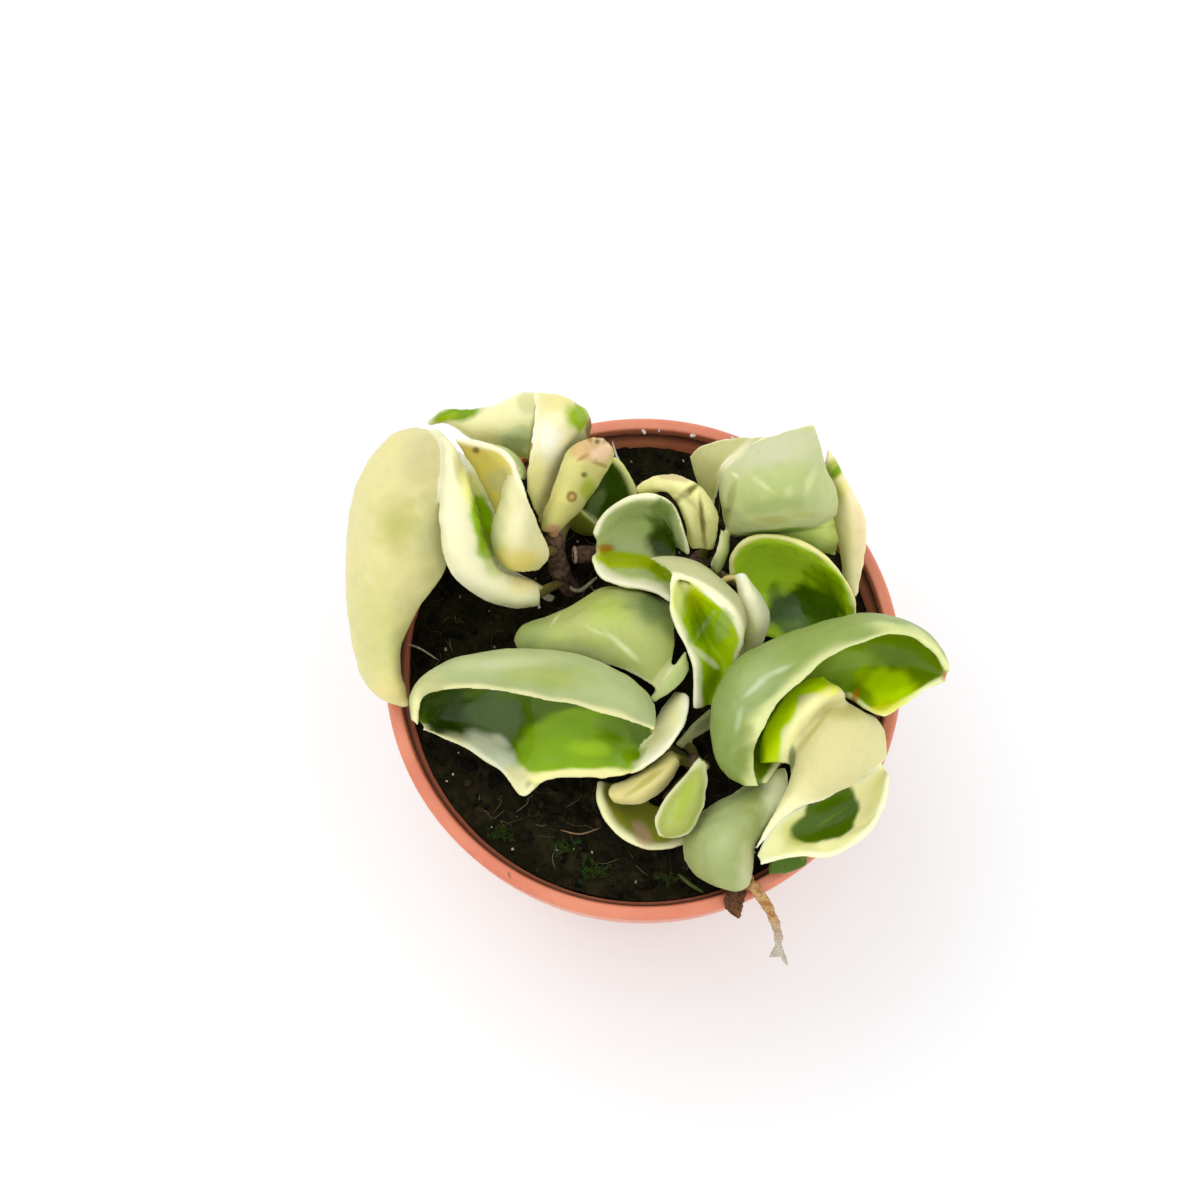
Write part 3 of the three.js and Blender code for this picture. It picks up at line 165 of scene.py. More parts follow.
def smooth_lines(points, shares):
    """Centripetal Catmull-Rom curves through rows of points, at shares of their length."""
    least_gap = 1e-6
    steps = 24
    first = 2 * points[:, :1] - points[:, 1:2]
    last = 2 * points[:, -1:] - points[:, -2:-1]
    run = np.concatenate([first, points, last], axis=1)
    lengths = np.linalg.norm(np.diff(run, axis=1), axis=2)
    gaps = np.sqrt(np.maximum(lengths, least_gap))[:, :, None]
    a, b, c, d = run[:, :-3], run[:, 1:-2], run[:, 2:-1], run[:, 3:]
    before, here, after = gaps[:, :-2], gaps[:, 1:-1], gaps[:, 2:]
    slope_in = ((b - a) / before - (c - a) / (before + here)) * here + (c - b)
    slope_out = (c - b) + ((d - c) / after - (d - b) / (here + after)) * here
    b, c, slope_in, slope_out = (part[:, :, None] for part in (b, c, slope_in, slope_out))
    t = (np.arange(steps) / steps)[None, None, :, None]
    curve = ((2 * t**3 - 3 * t**2 + 1) * b + (t**3 - 2 * t**2 + t) * slope_in
             + (3 * t**2 - 2 * t**3) * c + (t**3 - t**2) * slope_out)
    curve = np.concatenate([curve.reshape(len(points), -1, 3), points[:, -1:]], axis=1)
    pieces = np.linalg.norm(np.diff(curve, axis=1), axis=2)
    run = np.concatenate([np.zeros((len(points), 1)), np.cumsum(pieces, axis=1)], axis=1)
    result = np.empty((len(points), len(shares), 3))
    for row in range(len(points)):
        wanted = shares * run[row, -1]
        for axis in range(3):
            result[row, :, axis] = np.interp(wanted, run[row], curve[row, :, axis])
    return result


def smooth_line(points, shares):
    return smooth_lines(points[None], shares)[0]


def length_of(line):
    return np.linalg.norm(np.diff(line, axis=0), axis=1).sum()


def edge_heavy(count):
    """Shares from 0 to 1, closer together at both ends."""
    pull = 0.8
    even = np.linspace(0, 1, count)
    return even - pull * np.sin(2 * math.pi * even) / (2 * math.pi)


def grid_faces(rows, columns, start=0):
    """Triangles of a grid of points."""
    corner = np.arange(rows * columns).reshape(rows, columns)
    a = corner[:-1, :-1].ravel()
    b = corner[:-1, 1:].ravel()
    c = corner[1:, :-1].ravel()
    d = corner[1:, 1:].ravel()
    return start + np.concatenate([np.stack([a, c, b], axis=1), np.stack([b, c, d], axis=1)])


def surface(rails):
    """Rows of points over the surface through seen rails, along and across, and its normals."""
    spacing = 0.55
    samples = 30
    fewest_along, fewest_across = 12, 10
    rough = [smooth_line(seen(rail), np.linspace(0, 1, samples)) for rail in rails]
    longest = max(length_of(line) for line in rough)
    widest = max(length_of(np.array(line)) for line in zip(*rough))
    along = edge_heavy(max(fewest_along, int(longest / spacing)))
    across = edge_heavy(max(fewest_across, int(widest / spacing)))
    lines = [smooth_line(seen(rail), along) for rail in rails]
    rows = smooth_lines(np.stack(lines, axis=1), across)
    return rows, unit(np.cross(np.gradient(rows, axis=0), np.gradient(rows, axis=1)))


def runs(rows, axis):
    """How far each point of a surface lies from its first and from its last edge, along an axis."""
    steps = np.linalg.norm(np.diff(rows, axis=axis), axis=2)
    zero = np.zeros_like(np.take(steps, [0], axis=axis))
    run = np.cumsum(np.concatenate([zero, steps], axis=axis), axis=axis)
    return run, np.take(run, [-1], axis=axis) - run


def pale_share(place, widths, distances):
    """How far each place is within the pale bands along the two margins, from 0 to 1."""
    full_to, none_from = 0.45, 1.35
    wobble = 1 + relief(place, (0.25, 9, 3))
    pale = np.zeros(len(place))
    for width, distance in zip(widths, distances):
        if width:
            share = distance.ravel() / (width * wobble)
            pale = np.maximum(pale, 1 - smooth_step(full_to, none_from, share))
    return pale


def leaf_sheet(rails, seen_side, inner, outer, margins=(0, 0), edge=CREAM, at=(0.5, 0.5),
               thickness=LEAF_THICKNESS, margin=MARGIN_THICKNESS):
    """A fleshy sheet around the surface through its rails, with round edges.

    seen_side is the side of the leaf that the viewer sees at the share at of its length and
    width. inner and outer are the colours of its two sides, and margins the widths of the pale
    bands along its first and last rail.
    """
    rows, normals = surface(rails)
    length, width = rows.shape[:2]
    from_first, from_last = runs(rows, 1)
    from_start, from_end = runs(rows, 0)
    depth = np.minimum(np.minimum(from_first, from_last), np.minimum(from_start, from_end))
    body = margin / 2 + (thickness - margin) / 2 * smooth_step(0, FLESHY_FROM, depth)
    rounding = np.sqrt(1 - (1 - np.clip(depth / body, 0, 1)) ** 2)
    half = (body * rounding)[:, :, None]
    spot = (int(at[0] * (length - 1)), int(at[1] * (width - 1)))
    upward = normals[spot] @ (EYE - rows[spot]) > 0
    inner_sign = 1 if upward == (seen_side == "inner") else -1
    points = []
    shades = []
    for sign in (1, -1):
        place = (rows + sign * half * normals).reshape(-1, 3)
        is_inner = sign == inner_sign
        shade = np.tile(linear(inner if is_inner else outer), (len(place), 1))
        pale = pale_share(place, margins, (from_first, from_last))
        shade += (linear(edge) - shade) * pale[:, None]
        # Each side's gloss share sets its roughness; on the inner side it also sets the painted light
        # that lifts the colours.
        gloss_and_painted_light = np.full((len(place), 1), float(is_inner))
        points.append(place)
        shades.append(np.concatenate([shade, gloss_and_painted_light], axis=1))
    top = grid_faces(length, width)
    bottom = grid_faces(length, width, length * width)[:, ::-1]
    return np.concatenate(points), np.concatenate([top, bottom]), np.concatenate(shades)


def tube(line, radii, sides=24):
    """A round rod along a line of points, closed at both ends."""
    off_the_line = [0.3, 0.5, 0.8]
    ahead = unit(np.gradient(line, axis=0))
    side = np.cross(ahead[0], off_the_line)
    points = []
    for place, direction, radius in zip(line, ahead, radii):
        side = side - direction * (side @ direction)
        side /= np.linalg.norm(side)
        other = np.cross(direction, side)
        for k in range(sides):
            angle = 2 * math.pi * k / sides
            points.append(place + radius * (math.cos(angle) * side + math.sin(angle) * other))
    points += [line[0], line[-1]]
    faces = []
    for i in range(len(line) - 1):
        for k in range(sides):
            a = i * sides + k
            b = i * sides + (k + 1) % sides
            faces += [(a, b, a + sides), (b, b + sides, a + sides)]
    start = len(line) * sides
    for k in range(sides):
        after = (k + 1) % sides
        faces += [(start, after, k), (start + 1, start - sides + k, start - sides + after)]
    return np.array(points), np.array(faces)


def seen_line(points, spacing=0.5):
    """An even smooth line in space through seen points."""
    samples = 40
    fewest = 6
    rough = smooth_line(seen(points), np.linspace(0, 1, samples))
    count = max(fewest, int(length_of(rough) / spacing))
    return smooth_line(seen(points), np.linspace(0, 1, count))


def joined(shells):
    """Several shells as one set of points, faces and, where they have them, shades."""
    points = np.concatenate([shell[0] for shell in shells])
    starts = np.cumsum([0] + [len(shell[0]) for shell in shells[:-1]])
    faces = np.concatenate([shell[1] + start for shell, start in zip(shells, starts)])
    if len(shells[0]) == 2:
        return points, faces
    return points, faces, np.concatenate([shell[2] for shell in shells])


def make_mesh(name, points, faces, unit_length=MM):
    mesh = bpy.data.meshes.new(name)
    faces = np.ascontiguousarray(faces, dtype=np.int32)
    places = np.ascontiguousarray(points * unit_length, dtype=np.float32)
    mesh.vertices.add(len(points))
    mesh.vertices.foreach_set("co", places.ravel())
    mesh.loops.add(faces.size)
    mesh.polygons.add(len(faces))
    mesh.polygons.foreach_set("loop_start", np.arange(0, faces.size, faces.shape[1]))
    mesh.polygons.foreach_set("vertices", faces.ravel())
    mesh.update(calc_edges=True)
    mesh.polygons.foreach_set("use_smooth", np.ones(len(faces), bool))
    return mesh


def linked(name, data):
    """A new object in the scene."""
    thing = bpy.data.objects.new(name, data)
    bpy.context.scene.collection.objects.link(thing)
    return thing


def show(name, mesh, material):
    mesh.materials.append(material)
    piece = linked(name, mesh)
    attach(piece, BODY)
    return piece


def evaluated_mesh(thing):
    """A copy of an object's mesh with its modifiers applied."""
    bpy.context.view_layer.update()
    evaluated = thing.evaluated_get(bpy.context.evaluated_depsgraph_get())
    return bpy.data.meshes.new_from_object(evaluated)


def fused(points, faces, voxel):
    """One closed mesh, in millimetres, around overlapping closed shells."""
    mesh = make_mesh("shells", points, faces, unit_length=1.0)
    source = linked("shells", mesh)
    skin = source.modifiers.new("skin", "REMESH")
    skin.mode = "VOXEL"
    skin.voxel_size = voxel
    skin.use_smooth_shade = True
    result = evaluated_mesh(source)
    bpy.data.objects.remove(source)
    bpy.data.meshes.remove(mesh)
    return result


def read_points(mesh):
    values = np.empty(len(mesh.vertices) * 3, np.float32)
    mesh.vertices.foreach_get("co", values)
    return values.reshape(-1, 3).astype(float)


def read_normals(mesh):
    values = np.empty(len(mesh.vertices) * 3, np.float32)
    mesh.vertex_normals.foreach_get("vector", values)
    return values.reshape(-1, 3).astype(float)


def write_points(mesh, points):
    mesh.vertices.foreach_set("co", np.ascontiguousarray(points, dtype=np.float32).ravel())
    mesh.update()


def relax(mesh, rounds):
    """Evens out the steps that the voxels leave: each point moves halfway to its neighbours."""
    halfway = 0.5
    edges = np.empty(len(mesh.edges) * 2, np.int32)
    mesh.edges.foreach_get("vertices", edges)
    a, b = edges.reshape(-1, 2).T
    points = read_points(mesh)
    count = len(points)
    share = 1 / np.maximum(np.bincount(edges, minlength=count), 1)
    for _ in range(rounds):
        for axis in range(3):
            values = points[:, axis]
            total = np.bincount(a, values[b], count) + np.bincount(b, values[a], count)
            points[:, axis] += halfway * (total * share - values)
    write_points(mesh, points)


def roughen(mesh, place, *waves):
    """Moves a mesh's points along its normals by ripples and brings them to metres."""
    raised = place + read_normals(mesh) * relief(place, *waves)[:, None]
    write_points(mesh, raised * MM)
    return raised


def carried(places, shell_points, shell_faces, shades):
    """The shades of the nearest places on the shells, blended from the corners there."""
    nearness = 0.05
    tree = BVHTree.FromPolygons(shell_points.tolist(), shell_faces.tolist())
    nearest = [tree.find_nearest(place) for place in places.tolist()]
    corners = shell_faces[np.array([hit[2] for hit in nearest])]
    spot = np.array([tuple(hit[0]) for hit in nearest])
    away = np.linalg.norm(shell_points[corners] - spot[:, None], axis=2)
    weight = 1 / (away + nearness)
    weight /= weight.sum(axis=1, keepdims=True)
    return (shades[corners] * weight[:, :, None]).sum(axis=1)


def mark(colour, across, up, wide, high=None, turn=0, soft=0.45, strength=1.0, side=None,
         gloss_and_painted_light=None):
    """A spot of colour where the viewer sees it, on the side of the leaf that faces the viewer.

    wide and high are half its size, and turn is in degrees.
    """
    return dict(colour=colour, centre=(across, up), size=(wide, high or wide), turn=turn,
                soft=soft, strength=strength, side=side, gloss_and_painted_light=gloss_and_painted_light)


def paint(shades, points, normals, marks, seed):
    """Blends each mark into the shades, with an uneven outline."""
    fade = 0.15
    full_wobble_from = 0.35
    shift = 0.3
    facing = smooth_step(-fade, fade, (normals * unit(EYE - points)).sum(axis=1))
    where = picture(points)
    is_inner = shades[:, 3].copy()
    on_side = {None: 1, "inner": is_inner, "outer": 1 - is_inner}
    wobble = relief(points, (0.12, 5.5, seed), (0.03, 2.0, seed + 1))
    for spot in marks:
        turn = math.radians(spot["turn"])
        dx, dy = (where - spot["centre"]).T
        x = (dx * math.cos(turn) + dy * math.sin(turn)) / spot["size"][0]
        y = (dy * math.cos(turn) - dx * math.sin(turn)) / spot["size"][1]
        unevenness = wobble * min(1, spot["soft"] / full_wobble_from)
        reach = np.hypot(x, y) * (1 + unevenness) + unevenness * shift
        weight = 1 - smooth_step(1 - spot["soft"], 1 + spot["soft"], reach)
        weight *= facing * spot["strength"]
        weight *= on_side[spot["side"]]
        shades[:, :3] += (linear(spot["colour"]) - shades[:, :3]) * weight[:, None]
        if spot["gloss_and_painted_light"] is not None:
            shades[:, 3] += (spot["gloss_and_painted_light"] - shades[:, 3]) * weight
    return shades


# Left leaf: the big cream outer half hangs over the rim, and its other half folds back over it
# as a broad collar with a foot that reaches the stem.
def left_outer_leaf():
    hidden_margin = [
        [-47.4, -8.3, 3], [-50.9, 0.3, 4], [-50.3, 10.3, 5], [-46.9, 20.3, 6], [-45.1, 34.3, 8],
        [-43.3, 44.3, 12],
    ]
    outer_fold = [
        [-47.5, -8.9, 3], [-54.3, -4.9, 6], [-57.9, 7.3, 8], [-58.3, 23.3, 9], [-56.3, 35.3, 12],
        [-50.3, 44.3, 14], [-44.7, 46.5, 14],
    ]
    crest = [
        [-47.1, -8.9, 4], [-50.7, -2.1, 11], [-52.3, 10.3, 17], [-52.1, 23.3, 21], [-50.3, 35.3, 22],
        [-46.7, 42.7, 19], [-43.9, 46.3, 15],
    ]
    inner_side = [
        [-46.9, -8.7, 4], [-48.9, 1.3, 9], [-44.9, 10.5, 12], [-39.5, 18.5, 13], [-39.1, 28.3, 18],
        [-38.7, 38.3, 20], [-40.7, 44.3, 18], [-43.1, 46.3, 15],
    ]
    collar_edge = [
        [-42.7, 46.1, 16], [-40.1, 42.3, 19.5], [-40.7, 34.3, 21], [-40.9, 27.3, 21], [-39.3, 18.9, 18],
        [-34.7, 14.1, 14], [-27.7, 10.9, 8], [-20.5, 11.1, 4],
    ]
    collar_crest = [
        [-42.1, 46.5, 17], [-38.7, 42.3, 22], [-38.3, 32.3, 23], [-37.1, 23.3, 22], [-33.5, 16.9, 18],
        [-27.5, 13.7, 13], [-20.5, 12.7, 7],
    ]
    collar_turn = [
        [-41.5, 46.1, 16], [-37.5, 40.3, 20], [-35.3, 31.5, 21], [-32.9, 23.3, 18], [-29.7, 17.3, 14],
        [-25.7, 15.7, 10], [-20.5, 14.3, 7],
    ]
    inner_wall = [
        [-41.1, 45.3, 13], [-36.3, 38.7, 9], [-33.7, 30.3, 7], [-31.3, 22.7, 5], [-28.7, 17.5, 4],
        [-24.7, 16.5, 3.5], [-20.3, 14.7, 4],
    ]
    inner_floor = [
        [-40.1, 44.3, 10], [-33.3, 38.3, 4], [-29.7, 29.9, 2], [-27.9, 22.3, 0], [-26.3, 18.3, 0],
        [-23.1, 16.3, 1], [-20.1, 13.9, 2],
    ]
    return grown(
        sheets=[
            leaf_sheet([hidden_margin, outer_fold, crest, inner_side], "outer", at=(0.6, 0.5),
                       inner=MID_GREEN, outer=(216, 209, 160), margins=(1.0, 0)),
            leaf_sheet([collar_edge, collar_crest, collar_turn, inner_wall, inner_floor], "inner",
                       at=(0.5, 0.3), inner=(228, 225, 188), outer=PALE_GREEN, margins=(1.0, 0)),
        ],
        stalk=[[-21, 13.5, 4], [-18.6, 14.9, -0.5], [-16.1, 16.2, -3.6]],
        marks=[
            # Painted shade: a tan patch where the collar's edge overhangs the outer half.
            mark((192, 186, 145), -43.9, 39.5, 4.0, 6.5, soft=0.8, strength=0.7),
            mark((178, 178, 112), -49.3, 27.3, 3.4, 4.4, soft=0.9, strength=0.8),
            mark((190, 192, 142), -42.9, 25.3, 2.2, 8.0, soft=0.7, strength=0.7),
            mark((196, 198, 140), -52.3, 6.3, 5.0, 9.0, turn=8, soft=0.8, strength=0.7),
            mark((232, 218, 160), -50.3, -6.3, 4.0, 3.4, soft=0.6, strength=0.7),
            mark(KHAKI, -36.9, 38.3, 1.0, 4.0, turn=15, strength=0.7),
            mark((238, 240, 156), -34.3, 34.3, 2.2, 4.2, turn=12, soft=0.5),
            mark((120, 168, 16), -32.3, 28.7, 2.2, 5.4, turn=12, soft=0.35),
            mark((110, 146, 24), -31.3, 23.0, 2.0, 3.6, turn=10, strength=0.9),
            mark((196, 206, 150), -29.5, 18.7, 2.2, 2.0, strength=0.9),
            mark((232, 216, 150), -23.5, 15.7, 3.4, 1.8, turn=15, soft=0.7, strength=0.8),
        ],
    )


# The cupped leaf inside the left leaf's collar, with its drop-shaped tip turned forward.
def left_inner_leaf():
    rim = [
        [-38.2, 44.9, 19.5], [-35.9, 44.5, 21], [-32.3, 43.9, 22], [-28.3, 42.5, 24],
        [-25.9, 39.9, 24.5], [-24.9, 36.7, 24],
    ]
    inside = [
        [-37.1, 43.5, 18.3], [-35.3, 42.1, 17.5], [-32.7, 41.1, 17], [-29.7, 39.1, 17.5],
        [-27.9, 36.5, 18], [-27.1, 34.3, 18],
    ]
    depth = [
        [-35.5, 41.1, 16.5], [-34.1, 38.9, 14.5], [-32.7, 36.3, 13], [-31.3, 33.5, 12],
        [-30.1, 30.9, 11.5], [-28.7, 28.3, 11.5],
    ]
    drop_left = [
        [-27, 37.3, 19], [-28.3, 32.1, 16], [-30.1, 27.9, 14], [-30.4, 23.9, 12.5],
        [-29.1, 20.5, 11], [-26.3, 18.2, 9.5],
    ]
    drop_crest = [
        [-26.3, 37.5, 22], [-25.9, 31.3, 22], [-26.1, 25.3, 20.5], [-25.3, 20.9, 16.5],
        [-24, 17.9, 12],
    ]
    drop_right = [
        [-25.1, 38.3, 24], [-22.9, 32.5, 22], [-20.3, 25.9, 16], [-18.7, 21.7, 12.5],
        [-20.9, 18.3, 10],
    ]
    back_edge = [[-33, 44.1, 20], [-27.7, 42.9, 19], [-24.3, 39.9, 17], [-23.7, 36.3, 14]]
    back_foot = [[-32.2, 43.1, 20], [-27.1, 41.3, 20], [-25.1, 38.7, 19], [-24.5, 36.3, 18.5]]
    return grown(
        sheets=[
            leaf_sheet([rim, inside, depth], "inner", inner=(205, 190, 108), outer=CREAM,
                       margins=(1.2, 0)),
            leaf_sheet([drop_left, drop_crest, drop_right], "outer", inner=LIME,
                       outer=(224, 219, 178), margins=(0.8, 0.8)),
            leaf_sheet([back_edge, back_foot], "outer", inner=CREAM, outer=PALE_GREEN),
        ],
        stalk=[[-20.9, 21.7, 12], [-19, 22.1, 8], [-17.5, 22.3, 4]],
        marks=[
            mark((180, 175, 118), -28.7, 36.3, 2.6, 2.6, side="inner"),
            mark(DARK_BROWN, -33.5, 42.3, 0.6, strength=0.8),
            mark((226, 208, 128), -26.1, 20.1, 5.0, 2.6, soft=0.7, strength=0.8),
            mark((236, 232, 200), -24.5, 27.3, 1.8, 5.0, turn=-15, soft=0.7, strength=0.6),
        ],
    )


# The twisted leaf at the back left: a thin wing, a hollow cone and a broad front panel.
def back_twisted_leaf():
    wing_top = [
        [-43.5, 47.9, 13], [-40.1, 50.5, 15], [-34.7, 50.7, 17], [-29.5, 51.7, 21], [-24.7, 54.1, 24],
        [-21.3, 54.1, 26],
    ]
    wing_middle = [
        [-43.3, 47.4, 12], [-39.1, 49.1, 15], [-33.7, 47.7, 17], [-28.7, 47.3, 19], [-24.3, 48.3, 22],
        [-21.5, 49.3, 25],
    ]
    wing_low = [
        [-43.1, 46.9, 12], [-39.5, 47.7, 13], [-34.9, 44.9, 12], [-30.7, 43.1, 10], [-26.3, 41.5, 9],
        [-22.7, 40.3, 10],
    ]
    panel_left = [
        [-21.7, 54.1, 26], [-21.9, 49.3, 27], [-22.3, 44.3, 26], [-23.3, 39.1, 21], [-23.5, 35.1, 17],
        [-22.3, 31.1, 12], [-20.7, 28.1, 8],
    ]
    panel_middle = [
        [-15.7, 53.1, 27], [-16.3, 48.3, 28], [-17.5, 43.3, 24], [-19.3, 37.3, 17], [-20.7, 32.3, 12],
        [-20.3, 28.1, 7],
    ]
    panel_right = [
        [-11.5, 50.7, 22], [-10.3, 47.1, 19], [-12.7, 42.9, 14], [-15.3, 40.3, 12], [-16.7, 36.3, 9],
        [-18.5, 31.9, 6], [-19.7, 28.1, 5],
    ]
    return grown(
        sheets=[
            leaf_sheet([wing_top, wing_middle, wing_low], "inner", inner=(226, 223, 174),
                       outer=PALE_GREEN, margins=(0.8, 0)),
            leaf_sheet([panel_left, panel_middle, panel_right], "outer", inner=MID_GREEN,
                       outer=(228, 222, 180), margins=(0.8, 0.8)),
        ],
        stalk=[[-20.4, 28.9, 6.5], [-19, 27, 5], [-17.7, 25, 4]],
        marks=[
            mark(MID_GREEN, -37.3, 49.7, 5.4, 1.5, turn=12),
            mark(LIME, -39.5, 48.7, 2.0, 0.8, turn=20, strength=0.6),
            # Painted shade inside the hollow cone: tan at its top, grey-green lower down.
            mark((184, 182, 128), -22.9, 52.1, 2.2, 2.4, strength=0.7, side="inner"),
            mark((170, 188, 140), -25.9, 43.9, 3.3, 2.6, side="inner", strength=0.7),
            mark((184, 182, 120), -24.9, 40.1, 1.8, 2.4, side="inner", strength=0.8),
            mark((222, 214, 162), -17.7, 52.3, 3.4, 2.0, side="outer", soft=0.7),
            mark((240, 238, 222), -18.9, 44.5, 2.8, 4.0, side="outer", soft=0.7),
            # Painted light: a pale patch at the panel's foot, which lies in the scarred leaf's shade.
            mark((250, 240, 176), -21.7, 33.9, 2.4, 6.4, side="outer", soft=0.7, strength=0.8),
            mark((144, 172, 52), -13.1, 48.5, 2.2, 2.6, side="outer", soft=0.4),
            mark(BROWN, -10.7, 46.5, 1.0, 2.5, strength=0.8, soft=0.4),
        ],
    )


# The yellow tongue with a dry scar, in front of the twisted leaf.
def back_scarred_leaf():
    left = [
        [-15.5, 41.9, 23], [-16.9, 38.3, 22], [-18.5, 33.9, 17.5], [-20.1, 29.9, 13],
        [-20.5, 26.3, 9.5],
    ]
    crest = [
        [-11.9, 44.7, 25], [-13.1, 39.7, 25], [-15.1, 34.1, 20], [-17.7, 29.3, 14.5],
        [-19.5, 25.7, 10.5],
    ]
    right = [
        [-8.1, 45.1, 21], [-5.9, 41.5, 17.5], [-8.5, 36.5, 13.5], [-11.9, 31.3, 10],
        [-16.9, 26.3, 8],
    ]
    specks = [(-9.3, 43.9), (-9.5, 40.5), (-11.9, 37.3)]
    return grown(
        sheets=[
            leaf_sheet([left, crest, right], "outer", inner=OLIVE, outer=(210, 205, 146),
                       margins=(1.2, 0.6), edge=(228, 218, 172)),
        ],
        stalk=[[-18.3, 27.3, 9.5], [-18, 25.9, 8], [-17.7, 24.7, 5]],
        marks=[
            mark((206, 176, 138), -10.3, 42.7, 4.6, 2.6, soft=0.25, strength=0.9),
            mark((232, 226, 156), -16.9, 31.5, 2.4, 4.5, turn=-25, soft=0.7, strength=0.7),
            *(mark(DARK_BROWN, *speck, 0.5, strength=0.8) for speck in specks),
            mark(BROWN, -14.3, 32.9, 1.1, soft=0.25, strength=0.8),
            mark(BROWN, -11.3, 45.5, 0.5, 1.8, turn=30, strength=0.7),
            mark(BROWN, -7.3, 44.1, 0.4, 1.2, turn=-50, strength=0.7),
            mark((170, 134, 96), -12.3, 40.7, 1.2, 0.4, turn=30, strength=0.8),
            mark((170, 134, 96), -8.9, 39.5, 1.6, 0.4, turn=-20, strength=0.8),
            mark((236, 208, 182), -8.3, 41.7, 2.4, 1.4, turn=40, soft=0.3, strength=0.9),
            mark(TAN, -14.3, 32.9, 0.55, soft=0.3),
            mark(LIME, -11.1, 34.3, 1.6, 2.2, strength=0.6),
            mark(PINK_TAN, -18.1, 26.1, 1.8, 1.2),
        ],
    )


# The dark green leaf in the shade behind, folded so that its near margin stands in front.
def back_green_leaf():
    folded_left = [
        [-7.9, 40.7, 5], [-10.7, 36.3, 2], [-13.7, 31.3, -1], [-15.3, 28.3, -1], [-15.1, 29.1, 2],
        [-13.5, 31.1, 5.5],
    ]
    folded_middle = [
        [-6.3, 40.1, 6], [-6.7, 35.3, 1], [-8.7, 29.7, -3.5], [-11.9, 26.1, -3.5], [-12.1, 27.1, 0],
        [-10.7, 28.9, 4],
    ]
    folded_right = [
        [-6.1, 41.1, 9], [-3.7, 38.9, 8], [-1.3, 34.1, 5], [-1.9, 29.9, 0], [-5.5, 25.7, -3.5],
        [-8.1, 24.5, -1], [-7.3, 25.1, 1],
    ]
    return grown(
        sheets=[
            leaf_sheet([folded_left, folded_middle, folded_right], "inner", at=(0.35, 0.5),
                       inner=(38, 62, 8), outer=OLIVE, margins=(0.8, 1.4), edge=(206, 210, 146)),
        ],
        stalk=[[-14.9, 28.3, 0], [-16, 26, 1], [-17.2, 23.7, 3]],
        marks=[
            # Painted sheen on the dark inner side.
            mark(GREY_GREEN, -9.1, 32.3, 1.3, 2.6, turn=-35, strength=0.4, side="inner"),
            mark(OLIVE, -10.5, 27.1, 3.0, 1.2, turn=-30, strength=0.7),
            mark(PALE_GREEN, -11.1, 29.1, 2.8, 0.5, turn=-38, strength=0.7),
        ],
    )


# The centre leaf lies open like a clam, with the mouth towards the front.
def centre_cup_leaf():
    low_margin = [
        [-10.3, 21.1, 11], [-8.7, 16.9, 11], [-3.9, 15.1, 12], [1.1, 14.3, 13], [5.7, 11.9, 14],
    ]
    low_inside = [[-9.7, 21.9, 9], [-6.3, 18.9, 7], [-1.7, 17.7, 7], [2.3, 16.5, 8], [6.1, 14.3, 9]]
    crease = [[-9.5, 22.7, 8], [-6.3, 22.1, 4], [-1.7, 21.5, 3], [2.3, 20.3, 3], [6.5, 17.9, 4]]
    high_inside = [
        [-9.5, 24.1, 11], [-6.3, 27.1, 9], [-1.7, 28.3, 8], [3.3, 27.3, 7], [6.5, 22.7, 5],
    ]
    high_margin = [
        [-9.9, 25.3, 14], [-8.9, 28.3, 16], [-5.5, 31.5, 18.5], [-1.1, 33.3, 21],
        [3.3, 33.1, 21.5], [6.1, 30.9, 20.5], [7.5, 27.1, 18], [8.5, 23.9, 15], [9.3, 21.1, 12],
    ]
    return grown(
        sheets=[
            leaf_sheet([low_margin, low_inside, crease, high_inside, high_margin], "inner",
                       inner=(172, 188, 126), outer=(176, 190, 134), margins=(3.2, 1.6)),
        ],
        stalk=[[5.5, 18.5, 3.5], [7.9, 18.5, 1.6], [9.9, 18.5, -0.6]],
        marks=[
            mark((150, 164, 108), -1.1, 30.3, 5.0, 1.8, turn=12, side="inner", soft=0.8),
            # The deep green in the clam's depth, darkened further as painted shade.
            mark((96, 114, 62), 4.3, 28.1, 3.2, 4.8, side="inner", soft=0.3),
            mark((34, 50, 6), 4.3, 23.7, 3.2, 4.4, side="inner", soft=0.3),
            mark((130, 144, 102), 7.1, 25.3, 0.9, 4.6, turn=14, side="inner", soft=0.6),
            # Painted sheen on the upper inside.
            mark((190, 200, 150), -4.9, 24.3, 3.4, 1.8, turn=-8, side="inner", soft=0.8,
                 strength=0.8),
            mark((166, 188, 36), -4.1, 20.3, 7.0, 1.6, turn=-6, side="inner", soft=0.35),
            mark((124, 150, 30), 3.9, 17.9, 2.6, 1.6, turn=-30, side="inner", soft=0.4),
            mark(ORANGE_BROWN, -7.7, 22.7, 1.8, 0.7, side="inner", strength=0.8),
        ],
    )


